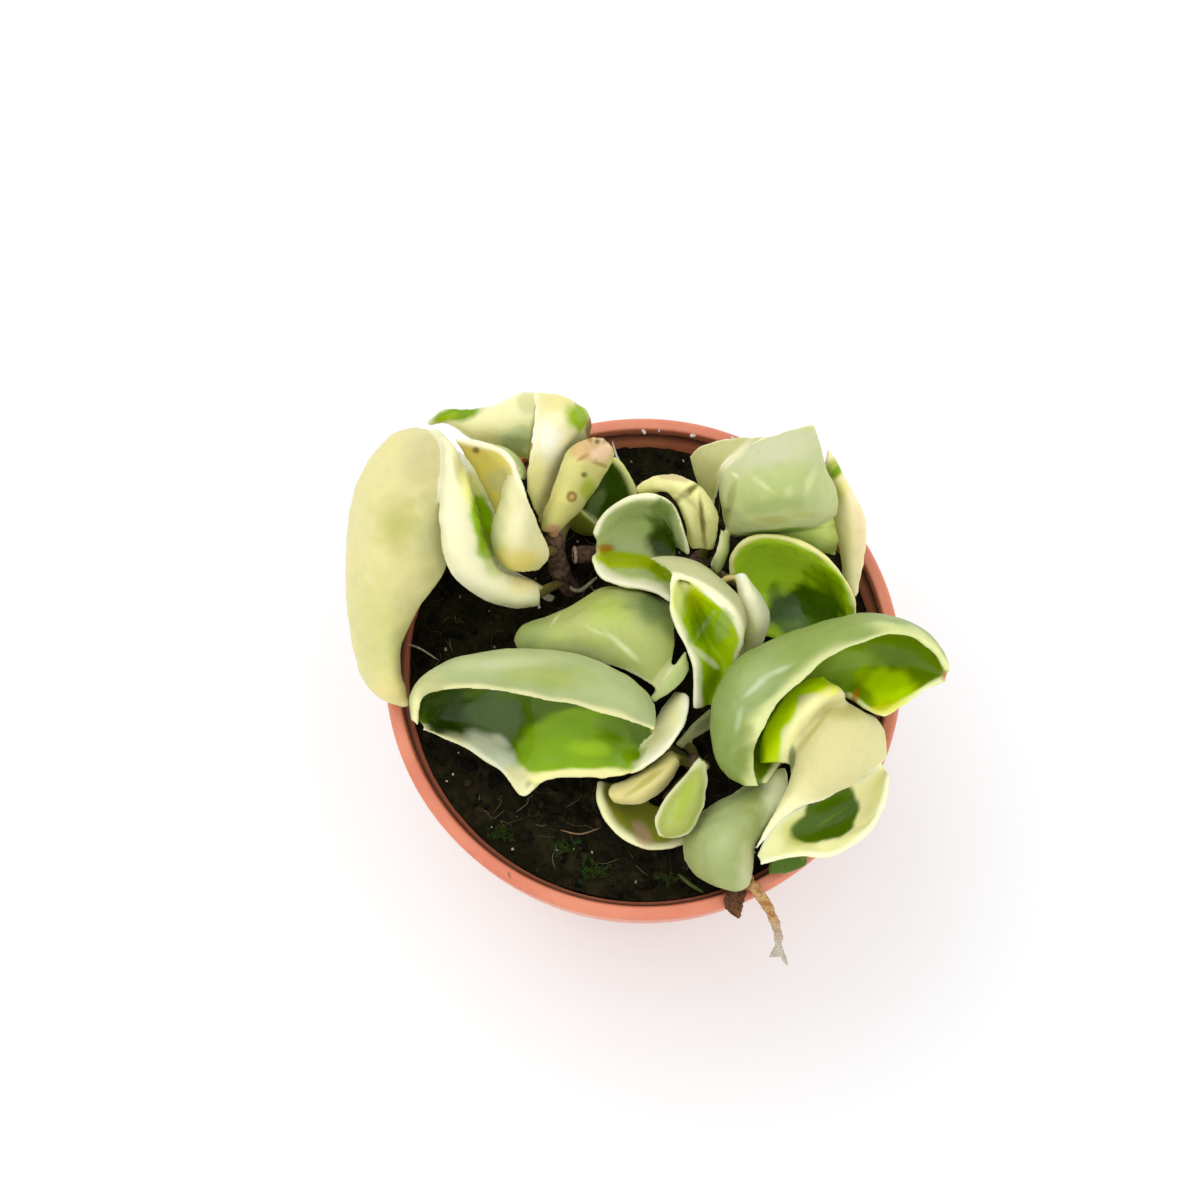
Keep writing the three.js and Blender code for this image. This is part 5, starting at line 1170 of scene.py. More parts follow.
# The long arched leaf on the right: a high hood over an open, bright inner side.
def right_arch_leaf():
    hood_margin = [
        [23.3, -25.1, 13], [22.1, -20.3, 15], [22.9, -16.1, 17], [24.9, -12.1, 20], [27.5, -7.9, 23],
        [31.3, -4.3, 26], [37.9, 1.3, 29], [44.3, 4.1, 30], [50.3, 5.5, 28], [54.9, 4.3, 24],
        [58.9, 0.7, 17], [60.9, -2.9, 13],
    ]
    hood = [
        [21.7, -25.1, 13], [18.9, -20.7, 14], [18.5, -15.3, 17], [19.3, -9.7, 21], [22.3, -4.7, 25],
        [28.3, -0.7, 29], [36.3, 3.7, 32], [44.3, 6.3, 32], [51.3, 6.5, 28], [57.3, 3.3, 20],
        [60.9, -1.7, 14],
    ]
    back = [
        [20.9, -24.7, 11], [16.1, -20.9, 10], [14.3, -13.7, 11], [15.1, -6.7, 12.5], [19.3, -0.3, 15],
        [27.3, 3.9, 17], [36.3, 6.9, 18], [45.3, 8.5, 19], [53.3, 6.9, 18], [58.7, 2.3, 15],
        [61.3, -2.1, 13],
    ]
    depth = [
        [21.7, -24.3, 9], [19.7, -19.7, 6], [19.3, -13.3, 5], [20.7, -7.7, 5], [24.9, -3.3, 6],
        [31.3, 0.3, 9], [38.3, 2.7, 11], [45.7, 3.9, 12], [52.3, 2.7, 12], [57.7, -0.1, 12],
        [60.7, -2.7, 12],
    ]
    floor = [
        [22.9, -24.1, 8], [23.3, -18.7, 4], [24.3, -13.3, 3], [26.9, -8.9, 4], [31.3, -6.1, 6],
        [36.9, -3.3, 8], [42.3, -2.1, 9], [48.3, -1.7, 10], [53.7, -2.1, 11], [57.9, -2.5, 11],
        [60.5, -3.5, 11.5],
    ]
    low_margin = [
        [24.5, -24.5, 9], [27.7, -20.1, 6], [30.9, -15.3, 6], [34.3, -10.9, 8], [37.7, -7.3, 11],
        [41.7, -7.1, 14], [44.9, -9.7, 15], [48.3, -10.9, 16], [52.9, -8.1, 16], [57.3, -5.3, 14],
        [60.7, -3.9, 12],
    ]
    return grown(
        sheets=[
            leaf_sheet([hood_margin, hood, back, depth, floor, low_margin], "outer",
                       at=(0.5, 0.2), inner=(88, 118, 16), outer=(142, 158, 100),
                       margins=(3.2, 1.1), edge=(222, 226, 172)),
        ],
        stalk=[[21.7, -23.7, 10], [20.9, -21, 6], [21.9, -19.9, 1.5], [23, -20.5, -1]],
        marks=[
            # Painted sheen along the hood's crest.
            mark((166, 180, 132), 22.3, -4.3, 3.4, 6.0, turn=-35, side="outer", soft=0.8,
                 strength=0.8),
            mark((130, 146, 84), 19.3, -19.7, 3.0, 5.0, turn=-8, side="outer", soft=0.8),
            mark((146, 176, 76), 38.9, -1.9, 8.0, 4.6, turn=18, side="inner", soft=0.6),
            mark((190, 226, 30), 48.5, -5.3, 5.4, 3.4, side="inner", soft=0.4),
            mark((92, 124, 14), 43.9, -6.5, 2.4, 1.4, turn=-30, side="inner", soft=0.5,
                 strength=0.7),
            # Painted highlights: thin pale streaks on the hood.
            mark((196, 208, 180), 22.1, -5.3, 3.0, 0.5, turn=42, side="outer", soft=0.9,
                 strength=0.8),
            mark((186, 200, 168), 19.1, -11.5, 0.5, 2.4, turn=-12, side="outer", soft=0.9,
                 strength=0.7),
            mark((196, 208, 176), 27.3, -1.7, 2.4, 0.5, turn=24, side="outer", soft=0.9,
                 strength=0.7),
            mark((132, 152, 84), 34.3, 3.3, 7.0, 1.2, turn=22, side="outer", soft=0.9,
                 strength=0.6),
            mark((212, 210, 90), 50.3, -9.1, 7.0, 1.2, turn=12, side="inner", strength=0.8),
            mark(ORANGE_BROWN, 42.5, -6.7, 0.8, 1.9, turn=-20, strength=0.8),
            mark((176, 96, 66), 60.7, -3.1, 1.2, 1.4, strength=0.7),
        ],
    )


# The cream leaf inside the arch: a lime strip, a ridge and a broad dome.
def right_inner_leaf():
    lime_edge = [
        [22.9, -20.5, 8.5], [23.1, -16.5, 10], [25.1, -11.5, 12.5], [28.3, -6.9, 15.5],
        [32.7, -3.5, 18], [36.1, -2.9, 18],
    ]
    lime_middle = [
        [25.3, -20.5, 9.5], [25.5, -16.3, 11.5], [27.5, -11.7, 14.5], [30.5, -7.7, 17.5],
        [33.9, -5.1, 19.5], [37.7, -4.3, 19.3],
    ]
    ridge = [
        [28.3, -20.5, 10.3], [28.9, -16.7, 13], [30.7, -12.3, 17], [33.5, -8.7, 20],
        [37.3, -6.1, 21], [39.9, -5.7, 20],
    ]
    crease = [
        [29.5, -20.9, 9.6], [30.7, -15.7, 12], [33.7, -11.3, 14.5], [37.1, -8.3, 16],
        [41.3, -8.3, 15],
    ]
    dome_upper = [
        [29.9, -23.9, 9.3], [32.7, -17.1, 15], [37.3, -12.7, 18.5], [42.3, -11.5, 16.5],
        [47.5, -12.7, 11],
    ]
    dome_middle = [
        [26.5, -30.3, 9.5], [31.7, -24.5, 13.5], [37.5, -20.1, 16.5], [43.3, -17.7, 15.5],
        [48.5, -16.3, 11],
    ]
    dome_bottom = [
        [21.3, -39.3, 9.5], [25.5, -33.3, 10.5], [30.3, -29.9, 11.3], [36.1, -27.7, 12],
        [41.7, -24.9, 12.3], [46.1, -21.9, 12], [48.5, -19.5, 10.5],
    ]
    lime_strip = [
        (25.1, -16.5, 2.6, 6.0, -8), (27.7, -9.7, 2.6, 5.0, -34), (32.9, -4.3, 4.6, 2.0, 20),
    ]
    return grown(
        sheets=[
            leaf_sheet(
                [lime_edge, lime_middle, ridge, crease, dome_upper, dome_middle, dome_bottom],
                "outer", at=(0.5, 0.75), inner=PALE_GREEN, outer=(216, 210, 164),
                margins=(0, 1.0),
            ),
        ],
        stalk=[[30.3, -22.1, 9.3], [30.3, -19.1, 5], [28.3, -18.7, 1], [25.9, -20.9, -1.4]],
        marks=[
            mark((248, 246, 190), 28.9, -14.3, 1.8, 6.0, turn=-18, soft=0.5),
            mark((248, 246, 190), 32.7, -8.7, 1.8, 4.4, turn=-45, soft=0.5),
            mark((230, 234, 110), 36.3, -5.1, 3.0, 1.4, turn=-5, soft=0.5),
            # The lime strip's gloss share also lifts its colours with the inner side's painted light.
            *(mark((196, 232, 44), *spot, soft=0.25, gloss_and_painted_light=0.8) for spot in lime_strip),
            mark((84, 120, 14), 22.9, -18.5, 1.5, 4.5, soft=0.6, strength=0.9),
            mark((84, 120, 14), 25.1, -10.3, 1.1, 3.4, turn=-30, soft=0.6, strength=0.8),
            mark((238, 234, 180), 32.7, -11.3, 0.9, 6.0, turn=-38, soft=0.7, strength=0.8),
            # Painted light: the flap is made paler where it turns away from the light.
            mark((250, 247, 206), 27.7, -31.7, 6.5, 3.0, turn=52, soft=0.7, strength=0.8),
            # Painted shade along the crease between the ridge and the dome.
            mark((184, 176, 116), 33.9, -13.9, 0.5, 4.4, turn=-38, soft=0.8, strength=0.7),
            mark((200, 192, 138), 40.5, -10.3, 3.4, 1.2, turn=-5, soft=0.8, strength=0.7),
            mark((206, 198, 150), 41.5, -24.9, 6.0, 2.0, turn=30, soft=0.8, strength=0.6),
            mark(DARK_GREEN, 29.7, -19.3, 0.6, 2.2, strength=0.7),
        ],
    )


# The cup at the front right, open towards the viewer, with a dark fold below its rim.
def front_right_cup_leaf():
    upper_margin = [
        [22.3, -38.9, 6.2], [25.5, -33.1, 6.5], [28.9, -29.9, 6.8], [33.3, -28.1, 6.8],
        [37.7, -26.3, 6.8], [41.9, -23.9, 7], [45.1, -21.9, 7], [47.3, -19.9, 6.4],
    ]
    upper_inside = [
        [22.7, -39.3, 6], [26.3, -35.7, 5], [29.7, -32.9, 4], [33.7, -30.7, 3.5], [37.7, -29.1, 3],
        [41.5, -27.1, 3], [45.1, -24.3, 4], [47.9, -20.5, 5.6],
    ]
    depth = [
        [23, -39.7, 6], [27.3, -36.9, 4.5], [31.3, -34.9, 3], [35.3, -33.7, 2.5],
        [39.3, -32.1, 2.5], [42.9, -29.7, 3], [45.9, -26.1, 3.5], [48.3, -21.1, 5.4],
    ]
    lower_inside = [
        [23.3, -40.1, 6.3], [27.7, -37.9, 5], [32.3, -36.9, 4], [36.9, -36.3, 4], [41.3, -34.3, 4],
        [44.9, -31.1, 4], [47.3, -26.9, 5], [48.6, -21.7, 5.8],
    ]
    lower_rim = [
        [23.3, -40.7, 6.8], [27.3, -39.5, 7], [31.9, -38.7, 7], [36.9, -39.1, 7], [41.5, -37.1, 8],
        [45.5, -33.5, 8], [47.9, -28.9, 8.5], [48.9, -22.3, 7],
    ]
    fold_top = [[25.5, -39.3, 5], [29.3, -38.1, 4.5], [33, -37.5, 4.5]]
    fold_low = [[24.7, -42.7, 2.5], [29.3, -42.5, 2], [33.1, -40.5, 2.2]]
    green_patch = [
        (35.7, -32.9, 6.4, 3.2, 14), (38.9, -30.1, 3.8, 5.6, -24), (36.7, -30.3, 4.4, 3.8, 28),
    ]
    return grown(
        sheets=[
            leaf_sheet([upper_margin, upper_inside, depth, lower_inside, lower_rim], "inner",
                       inner=(244, 240, 180), outer=GREY_GREEN, margins=(1.0, 1.2),
                       edge=(240, 240, 198)),
            leaf_sheet([fold_top, fold_low], "inner", inner=DARK_GREEN, outer=GREY_GREEN),
        ],
        stalk=[[31.3, -33.9, 3.5], [29.7, -31.5, -2.5], [26.3, -26.9, -4.3], [24.2, -24.7, -4.3]],
        marks=[
            mark((196, 202, 104), 31.1, -34.5, 3.4, 3.0, turn=20, side="inner", soft=0.6,
                 strength=0.8),
            *(mark((56, 84, 8), *spot, side="inner", soft=0.12) for spot in green_patch),
            mark((96, 128, 40), 37.7, -31.1, 4.6, 0.3, turn=32, side="inner", strength=0.5),
        ],
    )


# The pale green dome that leans on the front of the rim.
def front_dome_leaf():
    left = [
        [24.3, -21.9, 3], [17.9, -26.3, 3.2], [11.9, -30.1, 1.7], [8.1, -35.9, 1.4],
        [8.7, -40.5, 2], [13.3, -44.3, 2.5], [18.5, -45.9, 4],
    ]
    crest = [
        [26.1, -21.1, 4], [23.7, -25.9, 4.9], [20.3, -29.9, 9], [16.9, -35.3, 12.8],
        [15.9, -39.9, 11.5], [17.7, -43.7, 7.5], [19.7, -45.7, 4.5],
    ]
    right = [
        [28.7, -20.9, 3.6], [28.9, -25.3, 3.2], [26.3, -30.7, 3], [22.5, -36.3, 2.8],
        [21.9, -41.3, 3.6], [21.1, -45.3, 4],
    ]
    return grown(
        sheets=[
            leaf_sheet([left, crest, right], "outer", inner=MID_GREEN, outer=(156, 166, 114),
                       margins=(0.7, 0.7)),
        ],
        stalk=[[22.9, -28.3, 6.5], [23.3, -27.3, 2], [23.7, -26.1, -2]],
        marks=[
            mark((178, 190, 146), 15.3, -33.5, 3.6, 6.5, turn=-12, soft=0.8, strength=0.8),
            mark((196, 196, 158), 20.7, -41.5, 1.6, 4.6, turn=-5, soft=0.7, strength=0.7),
            mark((236, 240, 200), 26.5, -26.3, 2.4, 5.0, soft=0.8, strength=0.9),
        ],
    )


# Each leaf: its node, its record slot and the function that shapes it.
LEAVES = [
    ("leaf_left_outer", "leaf_cream", left_outer_leaf),
    ("leaf_left_inner", "leaf_cream", left_inner_leaf),
    ("leaf_back_twisted", "leaf_cream", back_twisted_leaf),
    ("leaf_back_scarred", "leaf_yellow", back_scarred_leaf),
    ("leaf_back_green", "leaf_dark_green", back_green_leaf),
    ("leaf_centre_cup", "leaf_pale_green", centre_cup_leaf),
    ("leaf_centre_arch", "leaf_yellow", centre_arch_leaf),
    ("leaf_back_puffed", "leaf_pale_green", back_puffed_leaf),
    ("leaf_far_right", "leaf_cream", far_right_leaf),
    ("leaf_right_cup", "leaf_bright_green", right_cup_leaf),
    ("leaf_small_cream", "leaf_cream", small_cream_leaf),
    ("leaf_centre_twisted", "leaf_pale_green", centre_twisted_leaf),
    ("leaf_front_boat", "leaf_pale_green", front_boat_leaf),
    ("leaf_centre_dome", "leaf_pale_green", centre_dome_leaf),
    ("leaf_small_pale", "leaf_pale_green", small_pale_leaf),
    ("leaf_rosette_cup", "leaf_yellow", rosette_cup_leaf),
    ("leaf_rosette_tongue", "leaf_yellow", rosette_tongue_leaf),
    ("leaf_rosette_plump", "leaf_yellow", rosette_plump_leaf),
    ("leaf_right_arch", "leaf_pale_green", right_arch_leaf),
    ("leaf_right_inner", "leaf_cream", right_inner_leaf),
    ("leaf_front_right_cup", "leaf_cream", front_right_cup_leaf),
    ("leaf_front_dome", "leaf_pale_green", front_dome_leaf),
]

# The same stem lines as the part's solids, each with its first and last radius.
STEMS = {
    "stem_left": (
        [[-13.7, 12.3, STEM_FOOT], [-14.3, 13.9, -9], [-16.3, 17.3, -3], [-17.5, 21.3, 3],
         [-17.7, 25.3, 7]],
        (2.3, 1.8),
    ),
    "stem_stub": (
        [[-6, 21, STEM_FOOT], [-6.2, 21.3, -8], [-7.5, 21.6, -2.5], [-10.5, 21.5, -0.4],
         [-14, 21.3, 0.2]],
        (1.7, 1.7),
    ),
    "stem_centre": (
        [[3.3, 4.3, STEM_FOOT], [3.7, 5.9, -9], [4.9, 10.3, -5], [7.3, 14.3, -3.2],
         [9.7, 18.3, -1], [11.7, 21.1, 3]],
        (2.2, 1.8),
    ),
    "stem_right": (
        [[15.7, 4.3, STEM_FOOT], [15.7, 6.3, -9], [15.5, 11.3, -5], [15.1, 14.7, -1.5],
         [14.7, 17.9, 1]],
        (2.2, 1.7),
    ),
    "stem_front": (
        [[10.1, -20.5, STEM_FOOT], [10.1, -20.5, -9], [10.1, -20.3, -2], [10.1, -20.1, 3]],
        (2, 1.6),
    ),
    "stem_front_right": (
        [[24.1, -24.1, STEM_FOOT], [24.1, -24.1, -9], [23.9, -23.9, -3], [23.7, -23.7, 1.5]],
        (2.2, 1.8),
    ),
}


# Materials: a few short helpers first.
def plug(tree, sockets, values):
    """Links each named socket to an output, or sets it to a plain value."""
    for name, value in values.items():
        if isinstance(value, bpy.types.NodeSocket):
            tree.links.new(value, sockets[name])
        else:
            sockets[name].default_value = value


def add_node(tree, kind, values):
    node = tree.nodes.new("ShaderNode" + kind)
    plug(tree, node.inputs, values)
    return node


def new_material(name, values):
    material = bpy.data.materials.new(name)
    material.use_nodes = True
    tree = material.node_tree
    shader = tree.nodes["Principled BSDF"]
    plug(tree, shader.inputs, values)
    return material, tree, shader.inputs


def object_place(tree):
    return add_node(tree, "TexCoord", {}).outputs["Object"]


def stretched(tree, place, upward):
    """Coordinates that draw a pattern out along the height."""
    return add_node(tree, "Mapping", {"Scale": (1.0, 1.0, upward), "Vector": place}).outputs["Vector"]


def noise(tree, place, size_mm, detail=3.0, roughness=0.55):
    """Cloudy noise whose patches are about size_mm across, from 0 to 1."""
    values = {"Vector": place, "Scale": 1 / (size_mm * MM), "Detail": detail, "Roughness": roughness}
    return add_node(tree, "TexNoise", values).outputs["Fac"]


def cells(tree, place, size_mm):
    """Distance from the middles of scattered cells about size_mm across."""
    values = {"Vector": place, "Scale": 1 / (size_mm * MM)}
    return add_node(tree, "TexVoronoi", values).outputs["Distance"]


def ranged(tree, value, low, high, to_low=0.0, to_high=1.0):
    """A value taken smoothly from one range to another."""
    values = {"Value": value, "From Min": low, "From Max": high, "To Min": to_low, "To Max": to_high}
    node = add_node(tree, "MapRange", values)
    node.interpolation_type = "SMOOTHSTEP"
    return node.outputs["Result"]


def mixed(tree, share, first, second, blend="MIX"):
    """Two colours mixed. A plain colour is given from 0 to 255."""
    node = add_node(tree, "Mix", {})
    node.data_type = "RGBA"
    node.blend_type = blend
    plug(tree, node.inputs, {"Factor": share})
    sockets = [socket for socket in node.inputs if socket.type == "RGBA"]
    for order, value in enumerate((first, second)):
        colour = (*linear(value), 1.0) if isinstance(value, tuple) else value
        plug(tree, sockets, {order: colour})
    return [socket for socket in node.outputs if socket.type == "RGBA"][0]


def worked_out(tree, operation, first, second):
    node = add_node(tree, "Math", {0: first, 1: second})
    node.operation = operation
    return node.outputs["Value"]


def bump(tree, height, depth_mm, strength):
    values = {"Strength": strength, "Distance": depth_mm * MM, "Height": height}
    return add_node(tree, "Bump", values).outputs["Normal"]


def shade_attribute(tree):
    """The colour painted on the mesh's points, and the share painted with it."""
    node = add_node(tree, "Attribute", {})
    node.attribute_name = "shade"
    return node.outputs["Color"], node.outputs["Alpha"]


def leaf_material():
    """Waxy leaf: glossy on the inner side, softer on the outer, faintly mottled, with painted light that
    lifts the inner side's darker colours.
    """
    material, tree, shader = new_material("waxy_leaf", {
        "Specular IOR Level": 0.24,
        "Subsurface Weight": 0.5,
        "Subsurface Radius": (1.0, 0.95, 0.3),
        "Subsurface Scale": 2 * MM,
    })
    place = object_place(tree)
    shade, inner = shade_attribute(tree)
    cloud = noise(tree, place, 6.0)
    mottle = noise(tree, place, 1.6, roughness=0.5)
    pores = cells(tree, place, 0.6)
    lighter = ranged(tree, cloud, 0.3, 0.7, 0.0, 0.12)
    light = mixed(tree, lighter, shade, (240, 236, 170), "SOFT_LIGHT")
    warmer = ranged(tree, mottle, 0.4, 0.75, 0.0, 0.08)
    warm = mixed(tree, warmer, light, (196, 200, 120), "MULTIPLY")
    dots = ranged(tree, pores, 0.14, 0.04, 0.0, 0.10)
    dotted = mixed(tree, dots, warm, (248, 246, 214))
    rich = add_node(tree, "HueSaturation", {"Saturation": 1.14, "Color": dotted}).outputs["Color"]
    # Painted light: the inner side's colours are lifted, the darker ones most, standing in for light
    # that shines through the leaf.
    gamma = ranged(tree, inner, 0.0, 1.0, 1.0, 0.8)
    painted_inner_light = add_node(tree, "Gamma", {"Color": rich, "Gamma": gamma}).outputs["Color"]
    rough = ranged(tree, inner, 0.0, 1.0, 0.46, 0.24)
    uneven = ranged(tree, mottle, 0.3, 0.75, -0.04, 0.06)
    plug(tree, shader, {
        "Base Color": painted_inner_light,
        "Roughness": worked_out(tree, "ADD", rough, uneven),
        "Normal": bump(tree, mottle, depth_mm=0.06, strength=0.3),
    })
    return material


def pot_material():
    """Terracotta-coloured plastic, dusty in places, with dark streaks on its inner wall near the soil
    that are partly soil stain and partly painted shade, and painted shade over its whole inner face.
    """
    material, tree, shader = new_material("pot_plastic", {
        "Subsurface Weight": 0.05,
        "Subsurface Scale": MM,
    })
    soil_line = (POT_HEIGHT - SOIL_DEPTH) * MM
    plain_from = (POT_HEIGHT - 0.6) * MM
    place = object_place(tree)
    height = add_node(tree, "SeparateXYZ", {"Vector": place}).outputs["Z"]
    cloud = noise(tree, place, 14.0, 4.0)
    scuffs = noise(tree, place, 1.4, 5.0, 0.7)
    streaks = noise(tree, stretched(tree, place, 0.18), 2.6, 4.0, 0.65)
    _, inside = shade_attribute(tree)
    body = mixed(tree, ranged(tree, cloud, 0.3, 0.7), (208, 116, 86), (218, 133, 101))
    dusty = mixed(tree, ranged(tree, scuffs, 0.52, 0.8, 0.0, 0.35), body, (222, 166, 140))
    # Dark streaks on the inner wall, from the soil up to just under the lip: partly soil stain, partly
    # painted shade.
    depth = ranged(tree, height, soil_line, plain_from, 1.0, 0.0)
    stain_and_shade = worked_out(tree, "MULTIPLY", depth, worked_out(tree, "MULTIPLY", streaks, 1.3))
    stain_and_shade_share = worked_out(tree, "MULTIPLY", ranged(tree, stain_and_shade, 0.01, 0.12), inside)
    stained_and_shaded = mixed(tree, worked_out(tree, "MULTIPLY", stain_and_shade_share, 0.92), dusty, (40, 24, 13))
    # Painted shade: the pot's whole inner face is darkened.
    in_shade = worked_out(tree, "MULTIPLY", inside, 0.35)
    rough = ranged(tree, scuffs, 0.3, 0.8, 0.34, 0.52)
    wet_rough = worked_out(tree, "MULTIPLY", stain_and_shade_share, 0.3)
    plug(tree, shader, {
        "Base Color": mixed(tree, in_shade, stained_and_shaded, (140, 60, 40), "MULTIPLY"),
        "Roughness": worked_out(tree, "ADD", rough, wet_rough),
        "Normal": bump(tree, scuffs, depth_mm=0.1, strength=0.35),
    })
    return material


def dry_material(name, roughness, grain_mm, streak, colour):
    """Dry matter with little sheen and a grainy bump. colour makes its base colour."""
    material, tree, shader = new_material(name, {
        "Roughness": roughness,
        "Specular IOR Level": DRY_SHEEN,
    })
    place = object_place(tree)
    grain = noise(tree, stretched(tree, place, 1 / streak), grain_mm, 5.0, 0.65)
    plug(tree, shader, {
        "Base Color": colour(tree, place, grain),
        "Normal": bump(tree, grain, depth_mm=0.35 * grain_mm, strength=0.7),
    })
    return material


def plant_material(name, dark, middle, pale, roughness, grain_mm, streak=1.0):
    """Dry or woody matter in three tones, its grain drawn out along the height by streak."""
    def colour(tree, place, grain):
        cloud = noise(tree, place, grain_mm * 5)
        base = mixed(tree, ranged(tree, grain, 0.32, 0.6), dark, middle)
        paler = worked_out(tree, "MULTIPLY", ranged(tree, cloud, 0.45, 0.7), 0.6)
        return mixed(tree, paler, base, pale)

    return dry_material(name, roughness, grain_mm, streak, colour)


def tinted_material(name, roughness, grain_mm):
    """Matter that takes its colour from its points, with a fine grain over it."""
    def colour(tree, _, grain):
        shade, _ = shade_attribute(tree)
        darker = ranged(tree, grain, 0.3, 0.7, 0.0, 0.55)
        return mixed(tree, darker, shade, (110, 92, 70), "MULTIPLY")

    return dry_material(name, roughness, grain_mm, 1.0, colour)


def set_shades(mesh, shades):
    values = np.ascontiguousarray(shades, dtype=np.float32).ravel()
    mesh.color_attributes.new("shade", "FLOAT_COLOR", "POINT").data.foreach_set("color", values)


def toned(points, colour):
    """The same colour for every point, without gloss."""
    return np.tile([*linear(colour), 0.0], (len(points), 1))


# Leaves
def stalk_shell(points):
    line = seen_line(points)
    place, faces = tube(line, np.full(len(line), STALK_RADIUS), sides=16)
    return place, faces, toned(place, (104, 98, 58))


def grown(sheets, stalk, marks):
    return joined([*sheets, stalk_shell(stalk)]), marks


def add_leaf(node, make, material, seed):
    """One skin around a leaf's sheets and stalk, slightly uneven, with its colours and marks."""
    (points, faces, shades), marks = make()
    mesh = fused(points, faces, LEAF_VOXEL)
    relax(mesh, rounds=9)
    place = read_points(mesh)
    normals = read_normals(mesh)
    skin = carried(place, points, faces, shades)
    place = roughen(mesh, place, (0.09, 5.5, seed), (0.015, 1.9, seed + 1))
    set_shades(mesh, paint(skin, place, normals, marks, seed))
    mesh.name = node.replace("leaf_", "") + "_leaf"
    piece = show(mesh.name, mesh, material)
    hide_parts(node)


def add_leaves():
    material = leaf_material()
    for seed, (node, slot, make) in enumerate(LEAVES):
        add_leaf(node, make, material, 10 * seed)


# Pot: the solid's own profile turned finely, with a rolled lip.
def wall_radius(z):
    """The radius of the pot's outer wall below the collar."""
    return BASE_RADIUS + POT_TAPER * z


def outer_profile():
    """Radius and height from the middle of the underside up to the top of the collar."""
    foot = POT_HEIGHT - COLLAR_HEIGHT
    draft = 1.1
    lip_round = 1.2
    lip_middle = POT_HEIGHT - lip_round
    base = [(0, 0), (BASE_RADIUS * 0.5, 0), (BASE_RADIUS - 1, 0), (BASE_RADIUS - 0.3, 0.3),
            (BASE_RADIUS, 1)]
    wall = [(wall_radius(z), z) for z in np.linspace(8, foot - 2.2, 10)]
    under_collar = [(wall_radius(foot) + 0.4, foot - 1.2), (RIM_RADIUS - 1.6, foot - 0.2),
                    (RIM_RADIUS - draft, foot + 0.5)]
    collar = [(RIM_RADIUS - draft + draft * share, foot + share * (COLLAR_HEIGHT - lip_round))
              for share in np.linspace(0.2, 1, 6)]
    lip = [(RIM_RADIUS - lip_round + lip_round * math.cos(a), lip_middle + lip_round * math.sin(a))
           for a in np.linspace(0.3, math.pi / 2, 6)]
    return base + wall + under_collar + collar + lip


def inner_profile():
    """Radius and height from the lip's inner edge down to the middle of the floor."""
    lip_round = 0.7
    lip_radius = RIM_RADIUS - LIP_WIDTH
    wall_top = POT_HEIGHT - 4
    wall_top_radius = wall_radius(wall_top) - WALL / 2
    wall_foot = FLOOR_THICKNESS + 1
    foot_radius = BASE_RADIUS - WALL
    lip = [(lip_radius + lip_round - lip_round * math.sin(a),
            POT_HEIGHT - lip_round + lip_round * math.cos(a))
           for a in np.linspace(0, math.pi / 2, 5)]
    under_lip = [(lip_radius - 0.25, POT_HEIGHT - 2.2), (wall_top_radius, wall_top)]
    wall = [(foot_radius + (wall_top_radius - foot_radius) * share,
             wall_foot + (wall_top - wall_foot) * share)
            for share in np.linspace(0.93, 0, 14)]
    floor = [(foot_radius - 0.3, FLOOR_THICKNESS + 0.3), (foot_radius - 1, FLOOR_THICKNESS),
             (0, FLOOR_THICKNESS)]
    return lip + under_lip + wall + floor


def turned_shape(profile, turns=192):
    """Points and triangles of a profile that starts and ends on the axis, turned about it."""
    points = []
    for radius, z in profile[1:-1]:
        for k in range(turns):
            angle = 2 * math.pi * k / turns
            points.append((radius * math.cos(angle), radius * math.sin(angle), z))
    count = len(profile) - 2
    faces = []
    for i in range(count - 1):
        for k in range(turns):
            a = i * turns + k
            b = i * turns + (k + 1) % turns
            faces += [(a, b, b + turns), (a, b + turns, a + turns)]
    points += [(0, 0, profile[0][1]), (0, 0, profile[-1][1])]
    middle = count * turns
    for k in range(turns):
        after = (k + 1) % turns
        faces += [(middle, after, k), (middle + 1, middle - turns + k, middle - turns + after)]
    return np.array(points, float), np.array(faces)


def on_inner_face(place):
    """Which points lie on the pot's inner wall or on the inner edge of its lip."""
    radius = np.hypot(place[:, 0], place[:, 1])
    height = place[:, 2]
    wall_limit = wall_radius(height) - 0.6 * WALL
    lip_limit = RIM_RADIUS - LIP_WIDTH + 0.4
    inside = (radius < np.maximum(wall_limit, 0)) | ((height > POT_HEIGHT - 4) & (radius < lip_limit))
    return inside & (height > FLOOR_THICKNESS - 0.1)


def add_pot():
    body = make_mesh("pot_body", *turned_shape(outer_profile() + inner_profile()))
    piece = show("nursery_pot", body, pot_material())
    drill(piece)
    place = read_points(piece.data) / MM
    shades = np.ones((len(place), 4))
    shades[:, 3] = on_inner_face(place)
    set_shades(piece.data, shades)
    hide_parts("pot")


